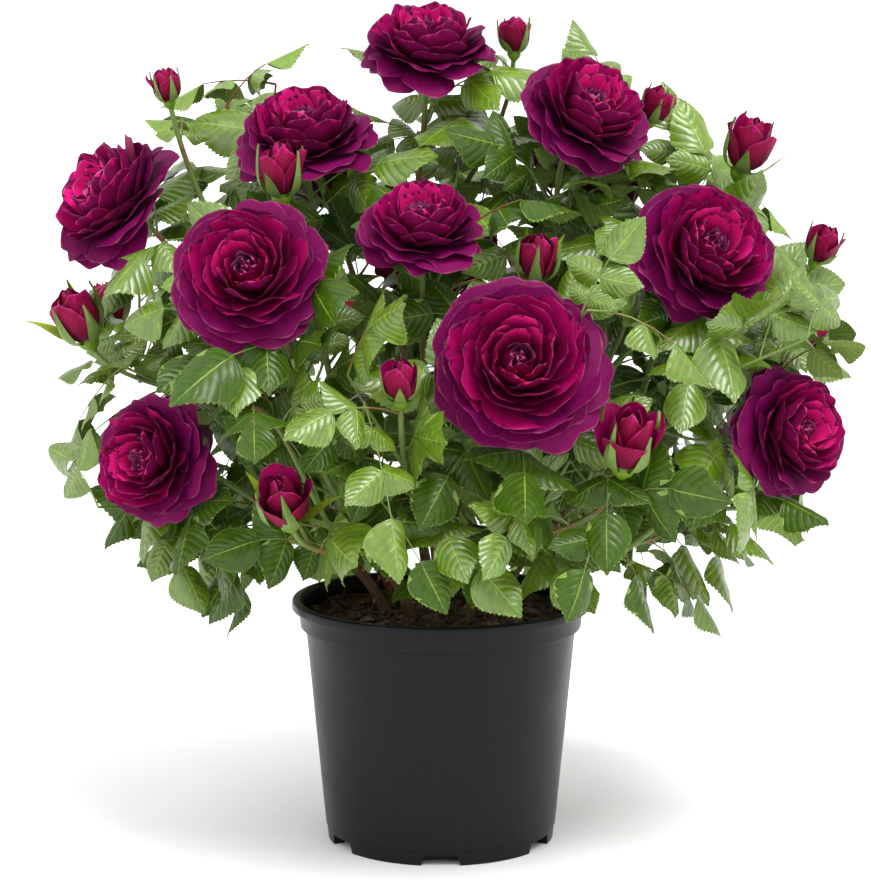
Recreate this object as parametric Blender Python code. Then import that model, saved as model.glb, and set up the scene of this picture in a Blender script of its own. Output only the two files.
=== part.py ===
"""A potted rose bush: nursery pot, soil, canes and flowering sprays, as closed solids.

Metres, +Z up. The origin is the middle of the pot's flat underside, and -Y is the front.
"""

import math
import random
from collections import namedtuple

import bmesh
import bpy
import numpy as np
from mathutils import Matrix, Vector
from mathutils.bvhtree import BVHTree

SEED = 41
MM = 0.001
GAP = 0.3 * MM
UP = Vector((0.0, 0.0, 1.0))
GOLDEN_ANGLE = math.radians(137.5)

# --- pot ---
POT_SIDES = 32
POT_HEIGHT = 0.184
RIM_RADIUS = 0.1125
RIM_TALL = 0.007
COLLAR_RADIUS = 0.1062
COLLAR_TALL = 0.0215
BODY_TOP_RADIUS = 0.1018
FOOT_RADIUS = 0.0858
FOOT_TALL = 0.011
FOOT_STEP = 0.0007
COLLAR_STEP = 0.002
COLLAR_SPREAD = 0.0008
LIP_STEP = 0.0005
LIP_ROUND = 0.001
LIP_TOP_ROUND = 0.002
WALL = 0.0018
FLOOR = 0.0105
HUB_RADIUS = 0.010
NOTCHES = 6
NOTCH_WIDE = 0.030
NOTCH_TAPER = 0.84
NOTCH_TALL = 0.008
NOTCH_DEEP = 0.012
NOTCH_OUT = 0.020
NOTCH_BELOW = 0.002
NOTCH_FIRST = math.radians(-90.0)

# --- soil ---
SOIL_LEVEL = 0.173
SOIL_FLAT_RADIUS = 0.052
SOIL_DIP = 0.003

# --- canes ---
BEND_PULL = 0.38
CANE_FOOT_RADIUS = 0.0050
CANE_TIP_RADIUS = 0.0034
CANE_SIDES = 6
CANE_STEPS = 5
CANE_REACH = 0.40
CANE_FLARE = 1.25
CANE_LEAN = 0.35
SIDE_FORKS = (0.66, 0.42, 0.84)

# --- stems of the sprays ---
STEM_RADIUS = 0.0027
NECK_RADIUS = 0.0020
SHOOT_RADIUS = 0.0017
TWIG_SIDES = 3
STEM_STEPS = 6
STEM_BACK = {"bloom": 0.62, "bud": 1.15, "shoot": 0.0}
SIDE_LEAN = 0.25
SHOOT_FORK = 0.30
SHOOT_FORK_STEP = 0.12
SHOOT_LEAN = 0.5
SEAT_ROUNDS = 5
SEAT_SAMPLES = (0.0, 0.2, 0.4, 0.6, 0.8)
SQUARE_ENOUGH = 1e-4

# --- flowers: rings along the axis, as shares of the flower's radius (along, out, scallop) ---
BLOOM_SIDES = 11
BLOOM_PETALS = 5
BLOOM_RINGS = (
    (-0.70, 0.05, 0.0),
    (-0.50, 0.13, 0.0),
    (-0.28, 0.60, 0.05),
    (-0.02, 0.98, 0.06),
    (0.08, 0.92, 0.06),
    (0.25, 0.70, 0.07),
    (0.36, 0.34, 0.04),
)
BUD_SIDES = 6
BUD_RINGS = (
    (-1.30, 0.12),
    (-0.95, 0.38),
    (-0.20, 0.98),
    (0.45, 0.84),
    (1.10, 0.22),
)

# --- union: slivers on faces this flat are merged ---
FLAT = math.radians(0.5)

# --- crown: a leaf stays inside this egg ---
CROWN_MIDDLE = 0.362
CROWN_HALF = (0.332, 0.312, 0.272)

# --- leaves ---
LEAF_LONG = 0.118
LEAF_THICK = 0.0018
STALK_RADIUS = 0.0011
LEAF_DROOP = 0.14
LEAF_FOLD = 0.18
LEAF_SPACING = 0.045
LEAF_SPACING_VARIES = 0.15
LEAF_FIRST_MAIN = 1.1
LEAF_FIRST_SIDE = 0.8
LEAF_LAST = 0.97
LEAF_FACES_OUT = 0.8
LEAF_FACES_UP = 0.45
LEAF_SIZES = (1.0, 0.88, 0.76, 0.62)
LEAF_SWINGS = (0.0, 22.0, -22.0, 44.0, -44.0, 70.0, -70.0, 100.0, -100.0)
LEAF_RISES = (62.0, 42.0, 84.0)
OVERREACH = 0.020
CLEAR_OF_FLOWER = 0.96
LEAF_ROLL = math.radians(32.0)
# One half of a leaf's edge, as shares of its length (along, across): past its stalk, round a
# side leaflet, in to the midrib, and round the leaflet at the end.
LEAF_EDGE = (
    (0.36, 0.011),
    (0.35, 0.22),
    (0.58, 0.36),
    (0.57, 0.09),
    (0.54, 0.012),
    (0.76, 0.165),
)
LEAF_FORK = 0.36
LEAF_RIDGE = (0.44, 0.76)
RING_TURN = 1.3

Tip = namedtuple("Tip", "kind place axis radius")


def facing(turn, lift):
    """Unit vector that turns from the front towards +X and lifts above level, in degrees."""
    turn, lift = math.radians(turn), math.radians(lift)
    level = math.cos(lift)
    return Vector((math.sin(turn) * level, -math.cos(turn) * level, math.sin(lift)))


def bloom(x, y, z, turn, lift, width):
    return Tip("bloom", Vector((x, y, z)) * MM, facing(turn, lift), width * MM / 2)


def bud(x, y, z, turn, lift, width):
    return Tip("bud", Vector((x, y, z)) * MM, facing(turn, lift), width * MM / 2)


def shoot(x, y, z, turn, lift):
    return Tip("shoot", Vector((x, y, z)) * MM, facing(turn, lift), SHOOT_RADIUS)


# Where each cane stands on the soil, in millimetres.
FEET = {
    "cane_left": (-42, -4),
    "cane_upper_left": (-24, 8),
    "cane_top": (-4, 14),
    "cane_upper_right": (22, 6),
    "cane_right": (42, 0),
    "cane_low_right": (40, -24),
    "cane_front": (20, -36),
    "cane_middle": (0, -20),
    "cane_front_left": (-22, -32),
    "cane_back_left": (-34, 28),
    "cane_back": (4, 40),
    "cane_back_right": (30, 28),
}

# Each cane carries its sprays in this order: the first from its tip, the rest from its side.
# A spray's first tip ends its main stem, and its other tips end side shoots of that stem.
PLANT = {
    "cane_left": {
        "spray_far_left": (
            bloom(-247, -20, 490, -57, 34, 104),
            bud(-268, -20, 398, -34, 56, 40),
        ),
        "spray_low_left": (bloom(-210, -120, 308, -30, 10, 89), shoot(-230, -36, 262, -70, -5)),
        "spray_left_leaves": (shoot(-254, 30, 352, -80, 0),),
    },
    "cane_upper_left": {
        "spray_upper_left": (bloom(-100, -30, 541, -8, 62, 97), shoot(-160, 30, 552, -60, 60)),
        "spray_tall_bud": (bud(-202, 0, 566, -35, 72, 22), shoot(-222, 50, 500, -100, 40)),
    },
    "cane_top": {
        "spray_top": (bloom(-11, 0, 604, 0, 69, 94), bud(55, 30, 603, 10, 80, 24)),
        "spray_back_upper_left": (bloom(-104, 118, 516, -150, 50, 92),),
    },
    "cane_upper_right": {
        "spray_upper_right": (bloom(109, -40, 555, 32, 44, 98), bud(158, 0, 552, 38, 62, 24)),
        "spray_right_bud": (bud(227, 0, 522, 35, 66, 38), shoot(196, 40, 505, 100, 50)),
    },
    "cane_right": {
        "spray_right_middle": (bloom(191, -100, 457, 24, 30, 107), shoot(196, -122, 362, 30, 0)),
        "spray_far_right": (bud(283, 0, 449, 44, 62, 26), shoot(272, 10, 378, 80, 8)),
    },
    "cane_low_right": {
        "spray_low_right": (bloom(258, -90, 324, 40, 16, 93), shoot(243, -30, 254, 70, -10)),
        "spray_right_skirt": (shoot(162, -106, 234, 48, -18),),
    },
    "cane_front": {
        "spray_front": (bloom(51, -220, 390, 0, 22, 117),),
        "spray_front_right": (
            bud(126, -200, 332, 10, 58, 42),
            shoot(66, -186, 300, 10, 0),
            shoot(104, -160, 244, 25, -12),
        ),
    },
    "cane_middle": {
        "spray_middle": (bloom(-14, -130, 479, -2, 62, 86), bud(67, -132, 450, 8, 60, 32)),
        "spray_front_centre": (
            bud(-27, -220, 374, 2, 72, 26),
            shoot(-64, -200, 316, -10, 0),
            shoot(-6, -178, 256, 5, -12),
        ),
    },
    "cane_front_left": {
        "spray_left_middle": (bloom(-132, -170, 447, -6, 26, 104), bud(-113, -96, 508, -4, 76, 34)),
        "spray_front_left": (
            bud(-107, -190, 289, -14, 50, 39),
            shoot(-128, -178, 352, -20, 10),
            shoot(-132, -106, 232, -48, -18),
        ),
    },
    "cane_back_left": {
        "spray_back_left": (bloom(-154, 178, 401, -140, 26, 102), bud(-262, 130, 392, -110, 60, 32)),
        "spray_back_low_left": (bloom(-218, 130, 276, -112, 10, 90), shoot(-150, 172, 226, -140, -6)),
    },
    "cane_back": {
        "spray_back_middle": (bloom(-8, 200, 440, -176, 34, 100), bud(-70, 232, 372, -165, 60, 30)),
        "spray_back_low": (bloom(68, 232, 325, 172, 14, 104), shoot(10, 204, 244, 180, -8)),
    },
    "cane_back_right": {
        "spray_back_right": (bloom(208, 160, 420, 128, 26, 100), bud(292, 116, 372, 100, 60, 32)),
        "spray_back_low_right": (bloom(258, 132, 285, 112, 10, 90), shoot(170, 190, 232, 140, -6)),
        "spray_back_upper_right": (bloom(117, 118, 520, 150, 48, 92),),
    },
}


# --- shapes ---
def loft(rings):
    """One closed mesh through rings of points, which run anticlockwise about the direction they go in."""
    bm = bmesh.new()
    rows = [[bm.verts.new(point) for point in ring] for ring in rings]
    sides = len(rows[0])
    for low, high in zip(rows, rows[1:]):
        for i in range(sides):
            j = (i + 1) % sides
            bm.faces.new((low[i], low[j], high[j], high[i]))
    bm.faces.new(rows[0][::-1])
    bm.faces.new(rows[-1])
    return finished(bm)


def finished(bm):
    bmesh.ops.triangulate(bm, faces=bm.faces[:])
    mesh = bpy.data.meshes.new("shape")
    bm.to_mesh(mesh)
    bm.free()
    return mesh


def square_frame(axis, near=UP):
    """Two unit vectors that are square to the axis and to each other, the second one towards near."""
    side = axis.cross(near)
    if side.length < SQUARE_ENOUGH:
        side = axis.cross(Vector((0.0, 1.0, 0.0)))
    side.normalize()
    return side, side.cross(axis).normalized()


def circle(centre, radius, sides, across, upwards):
    angles = [2 * math.pi * i / sides for i in range(sides)]
    return [centre + (across * math.cos(a) + upwards * math.sin(a)) * radius for a in angles]


def tube(path, radii, sides, first_way=None):
    """A tapering limb through the path's points. Its first end is cut square to first_way."""
    across = square_frame(first_way or (path[1] - path[0]).normalized())[0]
    rings = []
    for i, point in enumerate(path):
        before, after = path[max(i - 1, 0)], path[min(i + 1, len(path) - 1)]
        along = (after - before).normalized()
        if first_way and i == 0:
            along = first_way
        across = (across - along * across.dot(along)).normalized()
        rings.append(circle(point, radii[i], sides, across, along.cross(across)))
    return loft(rings)


def turned(profile, sides):
    """A turned solid from (radius, height) pairs, lowest first along its outside."""
    x, y = Vector((1.0, 0.0, 0.0)), Vector((0.0, 1.0, 0.0))
    return loft([circle(UP * height, radius, sides, x, y) for radius, height in profile])


def bend(start, start_way, end, end_way, steps):
    """Points along a smooth curve that leaves start and reaches end in the given directions."""
    pull = (end - start).length * BEND_PULL
    a, b = start + start_way * pull, end - end_way * pull
    points = []
    for i in range(steps + 1):
        t = i / steps
        s = 1 - t
        points.append(start * s**3 + a * 3 * s * s * t + b * 3 * s * t * t + end * t**3)
    return points


def at(path, share):
    """The point and direction at a share of the path's steps."""
    place = share * (len(path) - 1)
    i = min(int(place), len(path) - 2)
    step = path[i + 1] - path[i]
    return path[i] + step * (place - i), step.normalized()


# --- flowers, buds and leaves ---
def bloom_shape(tip, rng):
    across, upwards = square_frame(tip.axis)
    phase = rng.uniform(0, 2 * math.pi)
    rings = []
    for k, (along, out, scallop) in enumerate(BLOOM_RINGS):
        ring = []
        for i in range(BLOOM_SIDES):
            a = 2 * math.pi * i / BLOOM_SIDES
            r = tip.radius * out * (1 + scallop * math.cos(BLOOM_PETALS * a + phase + RING_TURN * k))
            way = across * math.cos(a) + upwards * math.sin(a)
            ring.append(tip.place + tip.axis * (along * tip.radius) + way * r)
        rings.append(ring)
    return loft(rings)


def bud_shape(tip):
    across, upwards = square_frame(tip.axis)
    return loft(
        [
            circle(tip.place + tip.axis * (s * tip.radius), out * tip.radius, BUD_SIDES, across, upwards)
            for s, out in BUD_RINGS
        ]
    )


def leaf_shape(root, heading, upper, size):
    """A closed leaf: a three-sided stalk that opens into two side leaflets and one at the end."""
    long = LEAF_LONG * size
    side = heading.cross(upper).normalized()
    upper = side.cross(heading).normalized()
    bm = bmesh.new()

    def vert(along, across=0.0, rise=0.0):
        fold = abs(across) * LEAF_FOLD * long
        point = root + heading * (along * long) + side * (across * long) + upper * (fold + rise)
        return bm.verts.new(point - UP * (LEAF_DROOP * long * along * along))

    tip = vert(1.0)
    edges = [[vert(along, across * hand) for along, across in LEAF_EDGE] for hand in (1, -1)]
    for rise in (LEAF_THICK / 2, -LEAF_THICK / 2):
        near, far = [vert(along, 0.0, rise) for along in LEAF_RIDGE]
        for edge in edges:
            for i in range(4):
                bm.faces.new((edge[i], edge[i + 1], near))
            bm.faces.new((edge[4], far, near))
            bm.faces.new((edge[4], edge[5], far))
            bm.faces.new((edge[5], tip, far))
        if rise < 0:
            bm.faces.new((edges[0][0], edges[1][0], near))
            continue
        fork = vert(LEAF_FORK, 0.0, rise)
        for edge in edges:
            bm.faces.new((edge[0], fork, near))
    share = STALK_RADIUS / long
    stalk = [vert(0.0, share, -STALK_RADIUS), vert(0.0, 0.0, STALK_RADIUS), vert(0.0, -share, -STALK_RADIUS)]
    ring = [edges[0][0], fork, edges[1][0]]
    for i in range(3):
        j = (i + 1) % 3
        bm.faces.new((stalk[i], stalk[j], ring[j], ring[i]))
    bm.faces.new(stalk)
    bmesh.ops.recalc_face_normals(bm, faces=bm.faces[:])
    return finished(bm)


# --- the space each spray keeps to ---
class Space:
    """Who is nearest to a point: each spray owns what lies nearer its own stems and flowers."""

    def __init__(self):
        self.places, self.reaches, self.owners = [], [], []

    def add(self, owner, place, reach=0.0):
        self.places.append(tuple(place))
        self.reaches.append(reach)
        self.owners.append(owner)

    def close(self):
        self.places = np.array(self.places)
        self.reaches = np.array(self.reaches)
        self.owners = np.array(self.owners)

    def holds(self, owner, points):
        points = np.array([tuple(p) for p in points])
        away = np.linalg.norm(points[:, None] - self.places[None], axis=2) - self.reaches
        own = self.owners == owner
        return bool((away[:, own].min(1) < away[:, ~own].min(1) + OVERREACH).all())


def tree_of(mesh):
    return BVHTree.FromPolygons([v.co for v in mesh.vertices], [tuple(p.vertices) for p in mesh.polygons])


def touches(mesh, trees):
    tree = tree_of(mesh)
    return any(tree.overlap(other) for other in trees)


# --- objects ---
def material(name, red, green, blue, roughness):
    found = bpy.data.materials.get(name) or bpy.data.materials.new(name)
    found.use_nodes = True
    shader = found.node_tree.nodes["Principled BSDF"]
    shader.inputs["Base Color"].default_value = (red, green, blue, 1.0)
    shader.inputs["Roughness"].default_value = roughness
    return found


def piece(name, mesh, *materials):
    mesh.name = name
    made = bpy.data.objects.new(name, mesh)
    bpy.context.scene.collection.objects.link(made)
    for one in materials:
        mesh.materials.append(one)
    return made


def largest_shell(mesh):
    """Keeps the mesh's largest connected shell, which drops sealed hollows and loose scraps."""
    bm = bmesh.new()
    bm.from_mesh(mesh)
    unseen, best = set(bm.verts), []
    while unseen:
        group, todo = [], [unseen.pop()]
        while todo:
            vert = todo.pop()
            group.append(vert)
            for edge in vert.link_edges:
                other = edge.other_vert(vert)
                if other in unseen:
                    unseen.remove(other)
                    todo.append(other)
        if len(group) > len(best):
            best = group
    keep = set(best)
    bmesh.ops.delete(bm, geom=[v for v in bm.verts if v not in keep], context="VERTS")
    bmesh.ops.dissolve_limit(bm, angle_limit=FLAT, verts=bm.verts[:], edges=bm.edges[:])
    bmesh.ops.triangulate(bm, faces=bm.faces[:])
    bm.to_mesh(mesh)
    bm.free()


def fuse(name, shapes):
    """Joins closed shapes into one solid object with a single Boolean union."""
    base = piece(name, shapes[0])
    parts = bpy.data.collections.new(name + "_parts")
    bpy.context.scene.collection.children.link(parts)
    for shape in shapes[1:]:
        parts.objects.link(bpy.data.objects.new("part", shape))
    union = base.modifiers.new("union", "BOOLEAN")
    union.operation = "UNION"
    union.operand_type = "COLLECTION"
    union.collection = parts
    bpy.context.view_layer.update()
    graph = bpy.context.evaluated_depsgraph_get()
    joined = bpy.data.meshes.new_from_object(base.evaluated_get(graph))
    base.modifiers.clear()
    for part in list(parts.objects):
        bpy.data.objects.remove(part)
    bpy.data.collections.remove(parts)
    base.data = joined
    joined.name = name
    largest_shell(joined)
    return base


# --- pot and soil ---
def pot_profile():
    """The pot's outline, out from the underside's middle, up the outside and down the inside."""
    body_low = FOOT_TALL / POT_HEIGHT
    body_foot = FOOT_RADIUS + FOOT_STEP + (BODY_TOP_RADIUS - FOOT_RADIUS) * body_low
    collar_foot = POT_HEIGHT - COLLAR_TALL
    lip_foot = POT_HEIGHT - RIM_TALL
    return (
        (HUB_RADIUS, 0.0),
        (FOOT_RADIUS, 0.0),
        (body_foot - FOOT_STEP, FOOT_TALL),
        (body_foot, FOOT_TALL + FOOT_STEP),
        (BODY_TOP_RADIUS, collar_foot),
        (COLLAR_RADIUS, collar_foot + COLLAR_STEP),
        (COLLAR_RADIUS + COLLAR_SPREAD, lip_foot),
        (RIM_RADIUS - LIP_ROUND, lip_foot + LIP_STEP),
        (RIM_RADIUS, lip_foot + RIM_TALL / 2),
        (RIM_RADIUS - LIP_TOP_ROUND, POT_HEIGHT),
        (COLLAR_RADIUS - WALL + LIP_TOP_ROUND, POT_HEIGHT),
        (COLLAR_RADIUS - WALL, collar_foot + 2 * COLLAR_STEP),
        (BODY_TOP_RADIUS - WALL, collar_foot),
        (FOOT_RADIUS + COLLAR_SPREAD - WALL, FLOOR),
        (HUB_RADIUS, FLOOR),
    )


def notch_cutter():
    """Six tapered blocks round the foot, wider at the bottom, as one hidden cutter."""
    bm = bmesh.new()
    for k in range(NOTCHES):
        turn = Matrix.Rotation(NOTCH_FIRST + 2 * math.pi * k / NOTCHES, 4, "Z")
        made = bmesh.ops.create_cube(bm, size=1.0)["verts"]
        for vert in made:
            high = vert.co.z > 0
            wide = NOTCH_WIDE * (NOTCH_TAPER if high else 1.0)
            out = FOOT_RADIUS + (NOTCH_OUT if vert.co.x > 0 else -NOTCH_DEEP)
            vert.co = turn @ Vector((out, vert.co.y * wide, NOTCH_TALL if high else -NOTCH_BELOW))
    mesh = bpy.data.meshes.new("notch_cutter")
    bm.to_mesh(mesh)
    bm.free()
    cutter = piece("notch_cutter", mesh)
    cutter.hide_render = True
    cutter.display_type = "WIRE"
    return cutter


def build_pot():
    pot = piece("pot", turned(pot_profile(), POT_SIDES), material("pot_plastic", 0.03, 0.032, 0.035, 0.5))
    cut = pot.modifiers.new("notches", "BOOLEAN")
    cut.operation = "DIFFERENCE"
    cut.object = notch_cutter()
    return pot


def soil_profile():
    """Soil that fills the pot's inside at one small gap and has a level middle."""
    *_, inner_bend, inner_foot, _ = pot_profile()
    slope = (inner_bend[0] - inner_foot[0]) / (inner_bend[1] - inner_foot[1])
    collar_foot = inner_bend[1]
    edge = SOIL_LEVEL - SOIL_DIP
    return (
        (HUB_RADIUS, FLOOR + GAP),
        (inner_foot[0] - GAP, FLOOR + GAP),
        (inner_foot[0] + slope * (collar_foot - FLOOR) - 2 * GAP, collar_foot),
        (COLLAR_RADIUS - WALL - 2 * GAP, edge),
        (SOIL_FLAT_RADIUS, SOIL_LEVEL),
        (HUB_RADIUS, SOIL_LEVEL),
    )


def build_soil():
    return piece("soil", turned(soil_profile(), POT_SIDES), material("soil", 0.05, 0.03, 0.02, 0.95))


# --- limbs ---
def cane_path(foot, tips):
    """A cane's line from its foot on the soil to where its first spray begins."""
    towards = sum((tip.place for tip in tips), Vector()) / len(tips)
    level = Vector((towards.x, towards.y, 0.0))
    tip = foot.lerp(towards, CANE_REACH)
    lean = (level.normalized() * CANE_LEAN + UP).normalized()
    return bend(foot, lean, tip, (towards - tip).normalized(), CANE_STEPS)


def cane_radius(share):
    flare = 1 + (CANE_FLARE - 1) * max(0.0, 1 - share * CANE_STEPS)
    return (CANE_FOOT_RADIUS + (CANE_TIP_RADIUS - CANE_FOOT_RADIUS) * share) * flare


def stem_end(tip):
    """Where the stem stops inside its flower or bud."""
    return tip.place - tip.axis * (STEM_BACK[tip.kind] * tip.radius)


def leave_side(path, share, target, cane_tree):
    """Start and direction of a stem that leaves the cane's side, seated one small gap off it."""
    point, along = at(path, share)
    way = ((target - point).normalized() + along * SIDE_LEAN).normalized()
    out = (way - along * way.dot(along)).normalized()
    start = point + out * (cane_radius(share) + STEM_RADIUS)
    side = square_frame(way)[0]
    for _ in range(SEAT_ROUNDS):
        foot = circle(start, STEM_RADIUS, TWIG_SIDES, side, way.cross(side))
        rim = [a.lerp(b, t) for a, b in zip(foot, foot[1:] + foot[:1]) for t in SEAT_SAMPLES]
        start = start - out * (min(cane_tree.find_nearest(p)[3] for p in rim) - GAP)
    return start, way


def stem_paths(start, way, tips):
    """The main stem's line, then each side shoot's line from its own fork on the main stem."""
    main = bend(start, way, stem_end(tips[0]), tips[0].axis, STEM_STEPS)
    paths = [main]
    for k, tip in enumerate(tips[1:]):
        fork, along = at(main, SHOOT_FORK + SHOOT_FORK_STEP * k)
        out = (stem_end(tip) - fork).normalized()
        leaning = (out + along * SHOOT_LEAN).normalized()
        paths.append(bend(fork, leaning, stem_end(tip), tip.axis, STEM_STEPS - 1))
    return paths


def stem_radii(index, count):
    wide, narrow = (STEM_RADIUS, NECK_RADIUS) if index == 0 else (NECK_RADIUS, SHOOT_RADIUS)
    return [wide + (narrow - wide) * i / (count - 1) for i in range(count)]


# --- leaves along the stems ---
def leaf_roots(paths, rng):
    """Root, heading and upper side of every leaf of a spray, spaced along its stems in a spiral."""
    for index, path in enumerate(paths):
        long = sum((b - a).length for a, b in zip(path, path[1:]))
        spin = rng.uniform(0, 2 * math.pi)
        gone = LEAF_SPACING * (LEAF_FIRST_MAIN if index == 0 else LEAF_FIRST_SIDE)
        while gone < long * LEAF_LAST:
            root, along = at(path, gone / long)
            across, upwards = square_frame(along)
            yield root, along, across, upwards, spin
            spin += GOLDEN_ANGLE
            gone += LEAF_SPACING * rng.uniform(1 - LEAF_SPACING_VARIES, 1 + LEAF_SPACING_VARIES)


def leaf_pose(root, along, across, upwards, spin, rise, roll):
    """Heading and upper side of a leaf that leaves its stem at the given spin, rise and roll."""
    out = across * math.cos(spin) + upwards * math.sin(spin)
    heading = (along * math.cos(rise) + out * math.sin(rise)).normalized()
    outward = Vector((root.x, root.y, root.z - CROWN_MIDDLE / 2)).normalized()
    upper = outward * LEAF_FACES_OUT + UP * LEAF_FACES_UP
    upper = (upper - heading * upper.dot(heading)).normalized()
    return heading, Matrix.Rotation(roll, 3, heading) @ upper


def in_crown(point):
    shares = zip((point.x, point.y, point.z - CROWN_MIDDLE), CROWN_HALF)
    return sum((away / half) ** 2 for away, half in shares) < 1.0


def fitting_leaf(name, root, axes, spin, roll, space, others, own_flowers):
    """The first size and pose at which the leaf stays in the spray's space and clear of the rest."""
    for size in LEAF_SIZES:
        for rise in LEAF_RISES:
            for swing in LEAF_SWINGS:
                turned_by = spin + math.radians(swing)
                pose = leaf_pose(root, *axes, turned_by, math.radians(rise), roll)
                leaf = leaf_shape(root, *pose, size)
                points = [v.co for v in leaf.vertices]
                inside = all(in_crown(p) for p in points)
                hides = any(
                    (p - f.place).length < f.radius * CLEAR_OF_FLOWER for p in points for f in own_flowers
                )
                if inside and not hides and space.holds(name, points) and not touches(leaf, others):
                    return leaf
                bpy.data.meshes.remove(leaf)
    return None


# --- the whole plant ---
def build_plant():
    bark = material("cane_bark", 0.22, 0.13, 0.06, 0.7)
    leaf_green = material("leaf_green", 0.06, 0.17, 0.03, 0.45)
    canes, sprays = {}, {}
    space = Space()
    for cane, carried in PLANT.items():
        foot = Vector((*FEET[cane], 0.0)) * MM + UP * (SOIL_LEVEL + GAP)
        path = cane_path(foot, [tips[0] for tips in carried.values()])
        radii = [cane_radius(i / CANE_STEPS) for i in range(CANE_STEPS + 1)]
        canes[cane] = tube(path, radii, CANE_SIDES, UP)
        cane_tree = tree_of(canes[cane])
        for rank, (spray, tips) in enumerate(carried.items()):
            if rank == 0:
                way = (path[-1] - path[-2]).normalized()
                start = path[-1] + way * GAP
            else:
                start, way = leave_side(path, SIDE_FORKS[rank - 1], tips[0].place, cane_tree)
            sprays[spray] = (tips, stem_paths(start, way, tips), way)
    for spray, (tips, paths, way) in sprays.items():
        for path in paths:
            for point in path:
                space.add(spray, point)
        for tip in tips:
            if tip.kind != "shoot":
                space.add(spray, tip.place, tip.radius)
    space.close()

    limbs = [tree_of(mesh) for mesh in canes.values()]
    limbs.append(tree_of(turned(pot_profile(), POT_SIDES)))
    limbs.append(tree_of(turned(soil_profile(), POT_SIDES)))
    shapes, trees = {}, {}
    for spray, (tips, paths, way) in sprays.items():
        rng = random.Random(f"{SEED} {spray}")
        made = [tube(paths[0], stem_radii(0, len(paths[0])), TWIG_SIDES, way)]
        for index, path in enumerate(paths[1:], 1):
            made.append(tube(path, stem_radii(index, len(path)), TWIG_SIDES))
        for tip in tips:
            if tip.kind == "bloom":
                made.append(bloom_shape(tip, rng))
            elif tip.kind == "bud":
                made.append(bud_shape(tip))
        shapes[spray] = made
        trees[spray] = [tree_of(mesh) for mesh in made]
    for spray, (tips, paths, way) in sprays.items():
        rng = random.Random(f"{spray} {SEED}")
        flowers = [tip for tip in tips if tip.kind == "bloom"]
        for root, along, across, upwards, spin in leaf_roots(paths, rng):
            others = limbs + [tree for name in sprays if name != spray for tree in trees[name]]
            others += trees[spray][len(paths):]
            roll = rng.uniform(-LEAF_ROLL, LEAF_ROLL)
            leaf = fitting_leaf(spray, root, (along, across, upwards), spin, roll, space, others, flowers)
            if leaf:
                shapes[spray].append(leaf)
                trees[spray].append(tree_of(leaf))
    for cane, mesh in canes.items():
        piece(cane, mesh, bark)
    for spray, made in shapes.items():
        joined = fuse(spray, made)
        joined.data.materials.clear()
        joined.data.materials.append(leaf_green)


def main():
    for old in list(bpy.data.objects):
        bpy.data.objects.remove(old)
    build_pot()
    build_soil()
    build_plant()


main()
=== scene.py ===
"""A potted rose bush: its leaves, flowers, buds, stems, canes, soil and pot, round their solids.

Metres, +Z up, and the front of the plant is towards -Y. The plant grows by the rule of its solids,
which is written again here and carried on to finer twigs.
"""

import functools
import itertools
import math
import random
from collections import namedtuple

import bmesh
import bpy
import numpy as np
from bpy.props import FloatProperty, FloatVectorProperty, IntProperty, PointerProperty
from mathutils import Matrix, Vector, noise
from mathutils.bvhtree import BVHTree


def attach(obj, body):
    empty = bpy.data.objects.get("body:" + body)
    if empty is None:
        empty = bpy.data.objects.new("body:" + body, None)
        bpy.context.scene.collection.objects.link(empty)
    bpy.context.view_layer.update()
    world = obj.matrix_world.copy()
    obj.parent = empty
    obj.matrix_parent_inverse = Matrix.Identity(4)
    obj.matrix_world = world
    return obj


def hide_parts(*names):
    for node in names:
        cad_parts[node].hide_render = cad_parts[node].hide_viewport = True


bl_info = {
    "name": "Potted rose bush",
    "version": (1, 0, 0),
    "blender": (4, 5, 0),
    "location": "3D View > Sidebar > Rose bush",
    "description": "Models a potted rose bush, piece by piece, round its packed solids",
    "category": "Add Mesh",
}

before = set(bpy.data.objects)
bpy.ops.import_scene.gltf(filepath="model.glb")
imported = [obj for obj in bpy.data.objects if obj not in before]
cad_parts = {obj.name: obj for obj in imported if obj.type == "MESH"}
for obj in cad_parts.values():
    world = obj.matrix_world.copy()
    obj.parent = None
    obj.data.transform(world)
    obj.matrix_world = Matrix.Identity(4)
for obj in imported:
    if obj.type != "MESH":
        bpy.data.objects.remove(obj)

MM = 0.001
UP = Vector((0.0, 0.0, 1.0))
GOLDEN_ANGLE = math.radians(137.5)
# The seed of every random draw.
SEED = 41
SPRAYS = sorted(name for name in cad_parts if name.startswith("spray_"))
CANES = sorted(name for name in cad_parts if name.startswith("cane_"))

# --- the plant's skeleton, as its solids have it ---
SOIL_LEVEL = 0.173
GAP = 0.3 * MM
BEND_PULL = 0.38
CANE_FOOT_RADIUS = 0.0041
CANE_TIP_RADIUS = 0.0034
CANE_REACH = 0.40
CANE_FLARE = 1.2
CANE_LEAN = 0.35
CANE_STEPS = 5
CANE_SUNK = 0.004
CANE_SIDES = 18
SIDE_FORKS = (0.66, 0.42, 0.84)
STEM_RADIUS = 0.0027
NECK_RADIUS = 0.0020
SHOOT_RADIUS = 0.0017
STEM_STEPS = 6
STEM_BACK = {"bloom": 0.62, "bud": 1.15, "shoot": 0.0}
SIDE_LEAN = 0.25
SHOOT_FORK = 0.30
SHOOT_FORK_STEP = 0.12
SHOOT_LEAN = 0.5
# The curves are drawn with this many times the steps of the solids.
FINER_CANES = 10
FINER_STEMS = 3

# --- the crown that the leaves fill ---
CROWN_MIDDLE = 0.362
CROWN_HALF = (0.330, 0.300, 0.272)
CROWN_TALL = 0.45
CROWN_TOP = 0.636
CROWN_DEEP = 0.96
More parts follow.
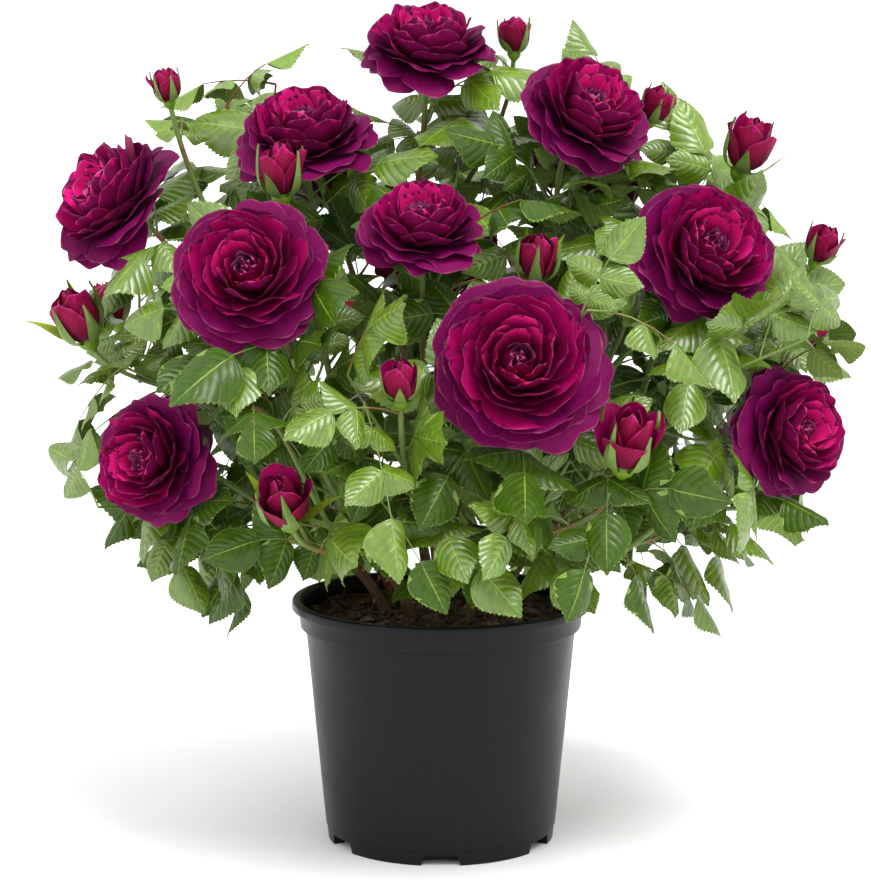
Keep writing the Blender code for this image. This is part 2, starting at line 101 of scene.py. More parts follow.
# Its outline: a height, then how far it reaches to the left and to the right there.
CROWN_OUTLINE = (
    (0.140, 0.150, 0.230),
    (0.190, 0.215, 0.245),
    (0.220, 0.255, 0.285),
    (0.260, 0.285, 0.308),
    (0.300, 0.300, 0.322),
    (0.340, 0.318, 0.325),
    (0.380, 0.334, 0.336),
    (0.430, 0.312, 0.336),
    (0.480, 0.302, 0.296),
    (0.530, 0.270, 0.270),
    (0.575, 0.240, 0.200),
    (0.605, 0.170, 0.140),
    (0.635, 0.070, 0.080),
)
CROWN_HEIGHTS, CROWN_LEFT, CROWN_RIGHT = zip(*CROWN_OUTLINE)
# Shallow lobes round the outline, in and out again with the height.
LOBES = 5
LOBE_TURN = 0.8
LOBE_CLIMB = 40
LOBE_DEPTH = 0.07
# The crown's lower edge rises towards the front. Where the pot stands below it, it lifts to clear
# the rim, in front and a little more behind, and blends back to its own height beside the pot.
SKIRT = 0.150
SKIRT_RISE = 0.09
SKIRT_BLEND = 0.03
POT_CLEAR = 0.130
OVER_POT = 0.190
OVER_POT_BACK = 0.200
# Where the bush is shown from, and how far back a flower still has to show from there.
SEEN_FROM = Vector((0.0, -2.0, 0.6))
SHOWN_DEPTH = 0.06
TO_LIGHT = Vector((0.0, -1.0, 0.0))

# --- leaves ---
# Each leaflet's place on the stalk, the side it is on, and its scale.
LEAFLETS = (
    (1.0, 0.0, 1.0),
    (0.66, 1.0, 0.82),
    (0.66, -1.0, 0.80),
    (0.30, 1.0, 0.60),
    (0.30, -1.0, 0.58),
)
LEAFLET_ROWS = 8
VARIANTS = 10
LEAFLET_WIDE = 0.37
LEAFLET_SAG = (0.08, 0.40)
LEAFLET_ROLL = 0.22
LEAFLET_GROWTH = (0.9, 1.08)
SIDE_TURN = math.radians(66.0)
STALK_RADIUS = 0.00075
STALK_TAPER = (1.5, 1.0, 0.9, 0.8, 0.6)
STALK_STEPS = len(STALK_TAPER) - 1
STALK_DROOP = (0.16, 0.46)
STALK_BARE = 0.35
# In its outline, by which leaves are kept apart: where a leaflet is widest, and how its tip sinks.
OUTLINE_WIDEST = 0.45
OUTLINE_SINK = 0.12
# A leaf faces out of the bush, up, and to the light, in these shares.
FACE_OUT = 0.6
FACE_UP = 0.55
FACE_LIGHT = 0.3
# How uneven the spacing of leaves and the turn of leaflets are.
UNEVEN = (0.85, 1.15)
CANE_BARE = 0.16
# Sizes, rises and swings that a leaf tries in turn, in degrees, until it fits.
LEAF_SIZES = (1.0, 0.88, 0.76)
LEAF_RISES = (60.0, 36.0, 84.0)
LEAF_SWINGS = (0.0, 32.0, -32.0, 70.0, -70.0, 110.0, -110.0)
LEAF_ROLL = 0.5
LEAF_GROWTH = (0.84, 1.04)
LEAF_SINK = 0.012
SAG_HEIGHTS = (0.22, 0.40, 0.56)
SAGS = (0.80, 0.30, 0.0)
# The limits of painted light between the deep, middle, light and young greens: deep green is
# painted shade inside the bush, and the light and young greens are painted light on its outside and
# top.
SHADE_LIMITS = (0.69, 1.0, 1.26)
SHADE_OUT = 0.9
SHADE_HIGH = 0.42
SHADE_CHANCE = 0.18
# The share of leaves kept, from the middle of the crown to its edge, and from low to high.
KEPT_AWAY = (0.25, 0.60, 0.85, 1.0)
KEPT_OUTWARDS = (0.60, 1.0, 0.92, 0.62)
KEPT_HEIGHTS = (0.42, 0.52)
KEPT_UPWARDS = (1.0, 0.8)
# Room that leaves keep round a flower, as shares of its radius: behind it, in front of its face,
# across its face, and across the view of it. In the view it reaches VIEW_CLEAR metres ahead.
BEHIND_FLOWER = 0.85
FACE_CLEAR = 2.2
FACE_WIDE = 0.92
VIEW_WIDE = 0.88
VIEW_CLEAR = 0.4
# The hulls of flowers: distances along the axis with the radius there, as shares of the flower's.
FLOWER_HULL = 1.08
HULL_SIDES = 12
HULLS = {
    "bloom": ((-0.45, 0.2), (-0.25, 0.7), (0.0, 1.0), (0.22, 0.8), (0.4, 0.3)),
    "bud": ((-1.2, 0.2), (-0.4, 1.0), (0.4, 0.95), (1.15, 0.2)),
}
CANE_HULL = 0.004
STEM_HULL = 0.0015
# How far a leaf may reach over the border of its spray's space.
OVERREACH = 0.030

# --- side twigs ---
TWIG_SWINGS = (0.0, 40.0, -40.0, 85.0, -85.0, 130.0)
TWIG_LONG = (0.055, 0.085)
TWIG_SHORT = 0.045
TWIG_OUT = 0.4
TWIG_RISE = 0.25
TWIG_CLEAR = (1.06, 1.06, 1.0)
TWIG_STEPS = 7
TWIG_BARE = 0.018
TWIG_DENSER = 0.8
TWIG_RADIUS = 0.0015
TWIG_TAPER = 0.0006

# --- pot and soil ---
POT_HEIGHT = 0.184
POT_FLOOR = 0.0105
FOOT_TALL = 0.011
BODY_TOP_RADIUS = 0.1018
BODY_STEPS = 12
COLLAR_FOOT = 0.1625
LIP_FOOT = 0.1772
NOTCHES = 6
SOIL_FOOT_RADIUS = 0.0994
SOIL_RINGS = 44
# The soil dips this deep, from this far out to this much further.
DIP_DEEP = 0.003
DIP_START = 0.052
DIP_REACH = 0.05
CHIP_LONG = (0.0016, 0.0022, 0.003, 0.0045, 0.0062)

# --- thorns ---
# How tall they are, how wide and thick at the foot as shares of that, and how far they hook.
CANE_THORN = 0.0052
STEM_THORN = 0.0036
THORN_WIDE = 0.16
THORN_TALL = 0.34
THORN_HOOK = 0.55
THORN_SPACING = (0.010, 0.026)
THORN_FREE = (0.012, 0.02)

# --- camera ---
CAMERA_PLACE = (-0.0039, -2.02, 0.597)
CAMERA_DOWN = 0.1459
SENSOR_WIDE = 36.0
# The lens's length and the picture's long side, both in points of the picture.
LENS_POINTS = 2724.0
PICTURE_POINTS = 890.0

Tip = namedtuple("Tip", "kind place axis radius")
Stem = namedtuple("Stem", "path radii young")
Leaf = namedtuple("Leaf", "rachis radius leaflets shade")
Leaflet = namedtuple("Leaflet", "root heading normal long variant")


def facing(turn, lift):
    """Unit vector that turns from the front towards +X and lifts above level, in degrees."""
    turn, lift = math.radians(turn), math.radians(lift)
    level = math.cos(lift)
    return Vector((math.sin(turn) * level, -math.cos(turn) * level, math.sin(lift)))


def bloom(x, y, z, turn, lift, width):
    """An open flower: its place and width in millimetres, and the way it faces in degrees."""
    return Tip("bloom", Vector((x, y, z)) * MM, facing(turn, lift), width * MM / 2)


def bud(x, y, z, turn, lift, width):
    """A bud: its place and width in millimetres, and the way it faces in degrees."""
    return Tip("bud", Vector((x, y, z)) * MM, facing(turn, lift), width * MM / 2)


def shoot(x, y, z, turn, lift):
    """A leafy shoot without a flower: its end in millimetres, and the way it heads in degrees."""
    return Tip("shoot", Vector((x, y, z)) * MM, facing(turn, lift), SHOOT_RADIUS)


# Where each cane stands on the soil, in millimetres.
FEET = {
    "cane_left": (-42, -4),
    "cane_upper_left": (-24, 8),
    "cane_top": (-4, 14),
    "cane_upper_right": (22, 6),
    "cane_right": (42, 0),
    "cane_low_right": (40, -24),
    "cane_front": (20, -36),
    "cane_middle": (0, -20),
    "cane_front_left": (-22, -32),
    "cane_back_left": (-34, 28),
    "cane_back": (4, 40),
    "cane_back_right": (30, 28),
}

# Each cane carries its sprays in this order: the first from its tip, the rest from its side.
# A spray's first tip ends its main stem, and its other tips end side shoots of that stem.
PLANT = {
    "cane_left": {
        "spray_far_left": (
            bloom(-247, -20, 490, -57, 34, 104),
            bud(-268, -20, 398, -34, 56, 40),
        ),
        "spray_low_left": (bloom(-210, -120, 308, -30, 10, 89), shoot(-230, -36, 262, -70, -5)),
        "spray_left_leaves": (shoot(-254, 30, 352, -80, 0),),
    },
    "cane_upper_left": {
        "spray_upper_left": (bloom(-100, -30, 541, -8, 62, 97), shoot(-160, 30, 552, -60, 60)),
        "spray_tall_bud": (bud(-202, 0, 566, -35, 72, 22), shoot(-222, 50, 500, -100, 40)),
    },
    "cane_top": {
        "spray_top": (bloom(-11, 0, 604, 0, 69, 94), bud(55, 30, 603, 10, 80, 24)),
        "spray_back_upper_left": (bloom(-104, 118, 516, -150, 50, 92),),
    },
    "cane_upper_right": {
        "spray_upper_right": (bloom(109, -40, 555, 32, 44, 98), bud(158, 0, 552, 38, 62, 24)),
        "spray_right_bud": (bud(227, 0, 522, 35, 66, 38), shoot(196, 40, 505, 100, 50)),
    },
    "cane_right": {
        "spray_right_middle": (bloom(191, -100, 457, 24, 30, 107), shoot(196, -122, 362, 30, 0)),
        "spray_far_right": (bud(283, 0, 449, 44, 62, 26), shoot(272, 10, 378, 80, 8)),
    },
    "cane_low_right": {
        "spray_low_right": (bloom(258, -90, 324, 40, 16, 93), shoot(243, -30, 254, 70, -10)),
        "spray_right_skirt": (shoot(162, -106, 234, 48, -18),),
    },
    "cane_front": {
        "spray_front": (bloom(51, -220, 390, 0, 22, 117),),
        "spray_front_right": (
            bud(126, -200, 332, 10, 58, 42),
            shoot(66, -186, 300, 10, 0),
            shoot(104, -160, 244, 25, -12),
        ),
    },
    "cane_middle": {
        "spray_middle": (bloom(-14, -130, 479, -2, 62, 86), bud(67, -132, 450, 8, 60, 32)),
        "spray_front_centre": (
            bud(-27, -220, 374, 2, 72, 26),
            shoot(-64, -200, 316, -10, 0),
            shoot(-6, -178, 256, 5, -12),
        ),
    },
    "cane_front_left": {
        "spray_left_middle": (
            bloom(-132, -170, 447, -6, 26, 104),
            bud(-113, -96, 508, -4, 76, 34),
        ),
        "spray_front_left": (
            bud(-107, -190, 289, -14, 50, 39),
            shoot(-128, -178, 352, -20, 10),
            shoot(-132, -106, 232, -48, -18),
        ),
    },
    "cane_back_left": {
        "spray_back_left": (
            bloom(-154, 178, 401, -140, 26, 102),
            bud(-262, 130, 392, -110, 60, 32),
        ),
        "spray_back_low_left": (
            bloom(-218, 130, 276, -112, 10, 90),
            shoot(-150, 172, 226, -140, -6),
        ),
    },
    "cane_back": {
        "spray_back_middle": (
            bloom(-8, 200, 440, -176, 34, 100),
            bud(-70, 232, 372, -165, 60, 30),
        ),
        "spray_back_low": (bloom(68, 232, 325, 172, 14, 104), shoot(10, 204, 244, 180, -8)),
    },
    "cane_back_right": {
        "spray_back_right": (bloom(208, 160, 420, 128, 26, 100), bud(292, 116, 372, 100, 60, 32)),
        "spray_back_low_right": (
            bloom(258, 132, 285, 112, 10, 90),
            shoot(170, 190, 232, 140, -6),
        ),
        "spray_back_upper_right": (bloom(117, 118, 520, 150, 48, 92),),
    },
}


# --- colours and settings ---
def linear(hex_colour):
    """The linear colour of an sRGB hex value."""
    shares = [int(hex_colour[i:i + 2], 16) / 255 for i in (1, 3, 5)]
    return tuple(s / 12.92 if s <= 0.04045 else ((s + 0.055) / 1.055) ** 2.4 for s in shares)


def colour(name, description, hex_colour):
    """A colour that the user can change."""
    return FloatVectorProperty(
        name=name,
        description=description,
        default=linear(hex_colour),
        subtype="COLOR",
        size=3,
        min=0.0,
        max=1.0,
    )


def size(name, description, default):
    """A length that the user can change, in metres."""
    return FloatProperty(
        name=name,
        description=description,
        default=default,
        min=0.0,
        subtype="DISTANCE",
        unit="LENGTH",
    )


def share(name, description, default, most=1.0):
    """A plain number that the user can change."""
    return FloatProperty(name=name, description=description, default=default, min=0.0, max=most)


class RosePotSettings(bpy.types.PropertyGroup):
    """Sizes and colours of the pot and the soil in it."""

    rim_radius: size("Rim radius", "Outside radius of the rolled lip", 0.1125)
    collar_radius: size("Collar radius", "Outside radius of the band below the lip", 0.1062)
    foot_radius: size("Foot radius", "Outside radius of the pot's foot", 0.0858)
    wall: size("Wall", "Thickness of the pot's wall", 0.0018)
    chips: IntProperty(name="Chips", description="Bark chips on the soil", default=620, min=0)
    plastic: colour("Plastic", "Colour of the pot", "#0d0f11")
    compost: colour("Compost", "Colour of the soil", "#4a382c")
    chip_brown: colour("Chip brown", "Colour of the bark chips", "#86705c")


class RoseLeafSettings(bpy.types.PropertyGroup):
    """Sizes, spacing and colours of the leaves."""

    leaf_long: size("Leaf length", "Length of a full leaf, from its stem to its tip", 0.138)
    leaflet_long: size("Leaflet length", "Length of the leaflet at a full leaf's end", 0.056)
    spacing: size("Leaf spacing", "Distance along a stem from one leaf to the next", 0.029)
    twig_spacing: size(
        "Twig spacing", "Distance along a stem from one side twig to the next", 0.056
    )
    # Painted light and shade: deep green stands for the shade inside the bush, light green for the
    # light on the crown's outside and top, and young green partly for young leaves and partly for
    # the brightest light there.
    deep: colour("Deep green", "Leaves inside the bush", "#395607")
    middle: colour("Middle green", "Most of the leaves", "#5e7d0f")
    light: colour("Light green", "Leaves that face the light", "#6e9118")
    young: colour("Young green", "Young leaves near the tips", "#8ca61e")
    under: colour("Underside", "The paler underside of a leaf", "#748e44")
    vein: colour("Vein", "Midrib, side veins and the leaf's edge", "#a0b84e")


class RoseFlowerSettings(bpy.types.PropertyGroup):
    """Colours of the flowers and buds."""

    outer: colour("Outer petals", "Colour of the wide outer petals", "#660545")
    middle: colour("Middle petals", "Colour of the petals in the middle", "#a0085a")
    inner: colour("Inner petals", "Colour of the cupped inner petals", "#d21a78")
    eye: colour("Eye petals", "Colour of the curled petals round the eye", "#c867a8")
    reverse: colour("Reverse", "Colour of the backs of the petals", "#66083f")
    bud: colour("Bud", "Colour of the petals of a bud", "#7c0e38")
    # The rim colour is partly the petal's paler edge and partly a painted highlight along it.
    rim: colour("Rim", "Colour of a petal's thin edge", "#cf84ab")


class RoseStemSettings(bpy.types.PropertyGroup):
    """Relief and colours of the canes and stems."""

    bark_relief: size("Bark relief", "Depth of the furrows in the bark", 0.0005)
    bark: colour("Bark", "Old canes", "#5f422c")
    bark_green: colour("Green bark", "Green that shows through on the canes", "#66702f")
    stem: colour("Stem", "Green stems and leaf stalks", "#66803a")
    flush: colour("Flush", "Red that young stems take in the sun", "#7d4a35")
    thorn: colour("Thorn", "Thorns", "#9a6a4c")


class RoseStageSettings(bpy.types.PropertyGroup):
    """Floor, light and camera."""

    floor: colour("Floor", "Colour of the floor", "#f7f7f7")
    world: share("World light", "Strength of the light from all round", 1.12, 10.0)
    key: share("Key light", "Strength of the soft light from the upper right", 2.4, 100.0)
    fill: share("Fill light", "Strength of the soft light from the left", 0.6, 100.0)
    strips: share("Strip lights", "Strength of the low lights at both sides", 0.5, 100.0)


def settings():
    """The settings that the user sees."""
    return bpy.context.scene.rose_bush


class RoseBushSettings(bpy.types.PropertyGroup):
    """All settings of the rose bush."""

    pot: PointerProperty(type=RosePotSettings, name="Pot", description="Pot and soil")
    leaves: PointerProperty(type=RoseLeafSettings, name="Leaves", description="Leaves")
    flowers: PointerProperty(
        type=RoseFlowerSettings, name="Flowers", description="Flowers and buds"
    )
    stems: PointerProperty(type=RoseStemSettings, name="Stems", description="Canes and stems")
    stage: PointerProperty(type=RoseStageSettings, name="Stage", description="Floor and light")


# --- small shapes that are made once and copied many times ---
class Pattern:
    """A small shape: its points and faces, with each face's kind and each corner's own place."""

    def __init__(self, bm):
        bm.verts.index_update()
        layer = bm.loops.layers.uv.verify()
        self.points = np.array([tuple(v.co) for v in bm.verts])
        self.corners = np.array([loop.vert.index for face in bm.faces for loop in face.loops])
        self.sizes = np.array([len(face.verts) for face in bm.faces])
        self.uv = np.array([tuple(loop[layer].uv) for face in bm.faces for loop in face.loops])
        self.kinds = np.array([face.material_index for face in bm.faces])
        bm.free()


def sheet_pattern(columns, rows, side_cuts=0, end_cuts=0, pointed=False):
    """A closed sheet of two layers, from -1 to 1 across and from 0 to 1 along.

    Its height is 0 on the top layer and the rim, and -1 on the underside. Faces of the underside
    are kind 1. Cuts give its rim more points than its faces, and its ends may come to a point.
    """
    bm = bmesh.new()
    layer = bm.loops.layers.uv.verify()
    bmesh.ops.create_grid(bm, x_segments=columns, y_segments=rows, size=1.0)
    bmesh.ops.transform(bm, matrix=Matrix.Diagonal((1.0, 0.5, 1.0, 1.0)), verts=bm.verts)
    bmesh.ops.translate(bm, vec=(0.0, 0.5, 0.0), verts=bm.verts)
    sides = [e for e in bm.edges if all(abs(v.co.x) > 0.999 for v in e.verts)]
    ends = [e for e in bm.edges if all(v.co.y > 0.999 for v in e.verts)]
    for edges, cuts in ((sides, side_cuts), (ends, end_cuts)):
        if cuts:
            bmesh.ops.subdivide_edges(bm, edges=edges, cuts=cuts)
    for face in bm.faces:
        for loop in face.loops:
            loop[layer].uv = (loop.vert.co.x / 2 + 0.5, loop.vert.co.y)
    if pointed:
        for vert in bm.verts:
            if vert.co.y < 0.001 or vert.co.y > 0.999:
                vert.co.x = 0.0
        bmesh.ops.remove_doubles(bm, verts=bm.verts, dist=1e-5)
    rim = {v for v in bm.verts if v.is_boundary}
    marks = [v in rim for v in bm.verts]
    before = list(bm.verts)
    copied = bmesh.ops.duplicate(bm, geom=bm.verts[:] + bm.edges[:] + bm.faces[:])
    under = [part for part in copied["geom"] if isinstance(part, bmesh.types.BMFace)]
    twins = copied["vert_map"]
    bmesh.ops.reverse_faces(bm, faces=under)
    for face in under:
        face.material_index = 1
    for vert, on_rim in zip(before, marks):
        if not on_rim:
            twins[vert].co.z = -1.0
    bmesh.ops.remove_doubles(bm, verts=bm.verts, dist=1e-5)
    return Pattern(bm)


def tube_pattern(sides, steps):
    """A closed tube of unit radius: its height counts the steps, and its ends are capped."""
    bm = bmesh.new()
    layer = bm.loops.layers.uv.verify()
    made = bmesh.ops.create_circle(bm, cap_ends=True, segments=sides, radius=1.0)["verts"]
    cap = made[0].link_faces[0]
    if cap.normal.z > 0:
        bmesh.ops.reverse_faces(bm, faces=[cap])
    top = bmesh.ops.duplicate(bm, geom=[cap])["geom"]
    top = [part for part in top if isinstance(part, bmesh.types.BMFace)]
    bmesh.ops.delete(bm, geom=top, context="FACES_ONLY")
    ring = [e for e in bm.edges if not e.link_faces]
    for _ in range(steps):
        grown = bmesh.ops.extrude_edge_only(bm, edges=ring)["geom"]
        verts = [part for part in grown if isinstance(part, bmesh.types.BMVert)]
        ring = [part for part in grown if isinstance(part, bmesh.types.BMEdge)]
        bmesh.ops.translate(bm, vec=(0.0, 0.0, 1.0), verts=verts)
    bmesh.ops.contextual_create(bm, geom=ring)
    bmesh.ops.remove_doubles(bm, verts=bm.verts, dist=1e-5)
    bmesh.ops.recalc_face_normals(bm, faces=bm.faces)
    for face in bm.faces:
        turns = [(math.atan2(l.vert.co.y, l.vert.co.x) / (2 * math.pi)) % 1.0 for l in face.loops]
        wraps = max(turns) - min(turns) > 0.5 and len(turns) == 4
        for loop, turn in zip(face.loops, turns):
            turn = turn + 1.0 if wraps and turn < 0.5 else turn
            loop[layer].uv = (turn, loop.vert.co.z / steps)
    return Pattern(bm)


def crumb_pattern():
    """A block of a few faces, which becomes a chip once it is stretched and jogged."""
    bm = bmesh.new()
    bmesh.ops.create_cube(bm, size=2.0)
    bmesh.ops.bevel(
        bm, geom=bm.edges[:], offset=0.35, affect="EDGES", segments=1, profile=0.5, material=-1
    )
    return Pattern(bm)


def thorn_pattern():
    """A thorn: a cone of unit height that one loop of edges lets bend."""
    bm = bmesh.new()
    bmesh.ops.create_cone(bm, cap_ends=True, segments=6, radius1=1.0, radius2=0.06, depth=1.0)
    bmesh.ops.translate(bm, vec=(0.0, 0.0, 0.5), verts=bm.verts)
    plane = {"plane_co": (0.0, 0.0, 0.4), "plane_no": (0.0, 0.0, 1.0)}
    bmesh.ops.bisect_plane(bm, geom=bm.verts[:] + bm.edges[:] + bm.faces[:], dist=1e-5, **plane)
    return Pattern(bm)


def shade_smooth(mesh):
    """Marks every face of a mesh smooth."""
    mesh.polygons.foreach_set("use_smooth", np.ones(len(mesh.polygons), dtype=bool))


def mesh_of(name, bm):
    """A mesh of the given name from an edit mesh, which is let go."""
    mesh = bpy.data.meshes.new(name)
    bm.to_mesh(mesh)
    bm.free()
    return mesh


class Gathering:
    """Many copies of small shapes, gathered into one mesh."""

    def __init__(self):
        self.points, self.corners, self.sizes, self.uv, self.slots = [], [], [], [], []
        self.count = 0

    def add(self, pattern, points, slots=(0,)):
        """Adds the pattern's faces on the given points. Slots give each kind of face a material."""
        self.points.append(points)
        self.corners.append(pattern.corners + self.count)
        self.sizes.append(pattern.sizes)
        self.uv.append(pattern.uv)
        self.slots.append(np.asarray(slots)[pattern.kinds])
        self.count += len(points)

    def piece(self, name, materials, sharp=50.0):
        """The gathered mesh as one object, with two UV maps: the pattern's own, and one with a tile
        for each material."""
        mesh = bpy.data.meshes.new(name)
        points = np.concatenate(self.points).astype(np.float32)
        corners = np.concatenate(self.corners).astype(np.int32)
        sizes = np.concatenate(self.sizes)
        uv = np.concatenate(self.uv).astype(np.float32)
        slots = np.concatenate(self.slots).astype(np.int32)
        mesh.vertices.add(len(points))
        mesh.vertices.foreach_set("co", points.ravel())
        mesh.loops.add(len(corners))
        mesh.loops.foreach_set("vertex_index", corners)
        mesh.polygons.add(len(sizes))
        starts = np.concatenate(([0], np.cumsum(sizes)[:-1])).astype(np.int32)
        mesh.polygons.foreach_set("loop_start", starts)
        mesh.polygons.foreach_set("material_index", slots)
        shade_smooth(mesh)
        for one in materials:
            mesh.materials.append(one)
        mesh.uv_layers.new(name="Pattern").data.foreach_set("uv", uv.ravel())
        across = math.ceil(math.sqrt(len(materials)))
        tile = np.repeat(slots, sizes)
        corner = np.stack((tile % across, tile // across), axis=1)
        tiled = (corner + 0.02 + 0.96 * np.clip(uv, 0.0, 1.0)) / across
        mesh.uv_layers.new(name="OFBake").data.foreach_set("uv", tiled.astype(np.float32).ravel())
        mesh.update(calc_edges=True)
        mesh.validate()
        mesh.set_sharp_from_angle(angle=math.radians(sharp))
        return stand(name, mesh)


def stand(name, mesh):
    """Links a mesh as an object at the origin, in place of any piece of that name."""
    old = bpy.data.objects.get(name)
    if old:
        bpy.data.objects.remove(old)
    mesh.name = name
    made = bpy.data.objects.new(name, mesh)
    bpy.context.scene.collection.objects.link(made)
    return made


def ride(made, slot, *nodes):
    """The piece moves with the plant, takes a finish from the slot and stands for the nodes."""
    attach(made, "root")
    if nodes:
        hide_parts(*nodes)


# --- lines and frames ---
def bend(start, start_way, end, end_way, steps):
    """Points along a smooth curve that leaves start and reaches end in the given directions."""
    pull = (end - start).length * BEND_PULL
    a, b = start + start_way * pull, end - end_way * pull
    points = []
    for i in range(steps + 1):
        t = i / steps
        s = 1 - t
        points.append(start * s**3 + a * 3 * s * s * t + b * 3 * s * t * t + end * t**3)
    return points


def at(path, place):
    """The point and direction at a share of the path's steps."""
    place = place * (len(path) - 1)
    i = min(int(place), len(path) - 2)
    step = path[i + 1] - path[i]
    return path[i] + step * (place - i), step.normalized()


def long_of(path):
    """The length of a path."""
    return sum((b - a).length for a, b in zip(path, path[1:]))


def square_frame(axis):
    """Two unit vectors that are square to the axis and to each other, the second one upwards."""
    side = axis.cross(UP)
    if side.length < 1e-4:
        side = axis.cross(Vector((0.0, 1.0, 0.0)))
    side.normalize()
    return side, side.cross(axis).normalized()


def tube_points(pattern, path, radii):
    """The tube pattern's points along a path. radii is one for each step, or a grid of them."""
    rows = len(path)
    across = square_frame((path[1] - path[0]).normalized())[0]
    centres, sides, tops = [], [], []
    for i, point in enumerate(path):
        before, after = path[max(i - 1, 0)], path[min(i + 1, rows - 1)]
        along = (after - before).normalized()
        across = (across - along * across.dot(along)).normalized()
        centres.append(tuple(point))
        sides.append(tuple(across))
        tops.append(tuple(along.cross(across)))
    row = np.rint(pattern.points[:, 2]).astype(int)
    centres, sides, tops = np.array(centres)[row], np.array(sides)[row], np.array(tops)[row]
    out = sides * pattern.points[:, :1] + tops * pattern.points[:, 1:2]
    return centres + out * np.asarray(radii)[row][:, None]


# --- growth: canes, stems, side twigs and leaves ---
def cane_path(foot, tips, steps):
    """A cane's line from its foot on the soil to where its first spray begins."""
    towards = sum((tip.place for tip in tips), Vector()) / len(tips)
    level = Vector((towards.x, towards.y, 0.0))
    tip = foot.lerp(towards, CANE_REACH)
    lean = (level.normalized() * CANE_LEAN + UP).normalized()
    return bend(foot, lean, tip, (towards - tip).normalized(), steps)


def cane_radius(place):
    """A cane's radius at a share of its length."""
    flare = 1 + (CANE_FLARE - 1) * max(0.0, 1 - place * CANE_STEPS)
    return (CANE_FOOT_RADIUS + (CANE_TIP_RADIUS - CANE_FOOT_RADIUS) * place) * flare


def stem_end(tip):
    """Where the stem stops inside its flower or bud."""
    return tip.place - tip.axis * (STEM_BACK[tip.kind] * tip.radius)


def stem_paths(start, way, tips, steps):
    """The main stem's line, then each side shoot's line from its own fork on the main stem."""
    main = bend(start, way, stem_end(tips[0]), tips[0].axis, steps)
    paths = [main]
    for k, tip in enumerate(tips[1:]):
        fork, along = at(main, SHOOT_FORK + SHOOT_FORK_STEP * k)
        out = (stem_end(tip) - fork).normalized()
        leaning = (out + along * SHOOT_LEAN).normalized()
        paths.append(bend(fork, leaning, stem_end(tip), tip.axis, steps))
    return paths


def in_crown(points):
    """Whether all the points are inside the crown's outline, and clear of the pot and its rim."""
    x, y, z = np.asarray(points).T
    away = np.hypot(x, y) + 1e-9
    right = (1 + x / away) / 2
    left_reach = np.interp(z, CROWN_HEIGHTS, CROWN_LEFT)
    reach = left_reach + (np.interp(z, CROWN_HEIGHTS, CROWN_RIGHT) - left_reach) * right
    lobes = np.sin(LOBES * np.arctan2(y, x) + LOBE_TURN) * np.sin(LOBE_CLIMB * z)
    reach = reach * (1 - LOBE_DEPTH * (1 - lobes) / 2)
    beside = np.where(y < 0, np.abs(x), away)
    over = np.where(y < 0, OVER_POT, OVER_POT_BACK)
    by_pot = np.interp(beside, (POT_CLEAR, POT_CLEAR + SKIRT_BLEND), (1.0, 0.0))
    skirt = SKIRT + (over - SKIRT) * by_pot
    skirt = skirt - SKIRT_RISE * np.minimum(y, 0)
    inside = (np.hypot(x, y / CROWN_DEEP) < reach) & (z > skirt) & (z < CROWN_TOP)
    return bool(inside.all())


class Space:
    """Each spray owns what lies nearer its own stems and flowers than another spray's."""

    def __init__(self, overreach):
        self.places, self.reaches, self.owners = [], [], []
        self.overreach = overreach

    def add(self, owner, place, reach=0.0):
        """Adds a place of an owner, with a reach round it."""
        self.places.append(tuple(place))
        self.reaches.append(reach)
        self.owners.append(owner)

    def close(self):
        """Makes the space ready, once every place is added."""
        self.places = np.array(self.places)
        self.reaches = np.array(self.reaches)
        self.owners = np.array(self.owners)

    def holds(self, owner, points):
        """Whether the points are the owner's, or not far over its border."""
        away = np.linalg.norm(points[:, None] - self.places[None], axis=2) - self.reaches
        own = self.owners == owner
        return bool((away[:, own].min(1) < away[:, ~own].min(1) + self.overreach).all())


@functools.lru_cache(maxsize=1)
def skeleton():
    """Every cane's line, and every spray's tips and stem lines."""
    canes, sprays = {}, {}
    for cane, carried in PLANT.items():
        foot = Vector((*FEET[cane], 0.0)) * MM + UP * (SOIL_LEVEL + GAP)
        firsts = [tips[0] for tips in carried.values()]
        coarse = cane_path(foot, firsts, CANE_STEPS)
        canes[cane] = cane_path(foot, firsts, CANE_STEPS * FINER_CANES)
        for rank, (spray, tips) in enumerate(carried.items()):
            start = coarse[-1]
            way = (coarse[-1] - coarse[-2]).normalized()
            if rank:
                start, along = at(coarse, SIDE_FORKS[rank - 1])
                way = ((tips[0].place - start).normalized() + along * SIDE_LEAN).normalized()
            sprays[spray] = (tips, stem_paths(start, way, tips, STEM_STEPS * FINER_STEMS))
    return canes, sprays


def outwardness(place):
    """How far out in the crown a place lies: 0 in its middle, and about 1 at its outside."""
    up = (place.z - CROWN_MIDDLE) / CROWN_HALF[2]
    return Vector((place.x / CROWN_HALF[0], place.y / CROWN_HALF[1], up)).length


def painted_shade_of(place, rng):
    """Which green a leaf takes: deep inside the bush, young near the crown's outside and top."""
    high = SHADE_HIGH * (place.z - SOIL_LEVEL) / CROWN_TALL
    light = SHADE_OUT * outwardness(place) + high + rng.uniform(-SHADE_CHANCE, SHADE_CHANCE)
    return sum(light > limit for limit in SHADE_LIMITS)


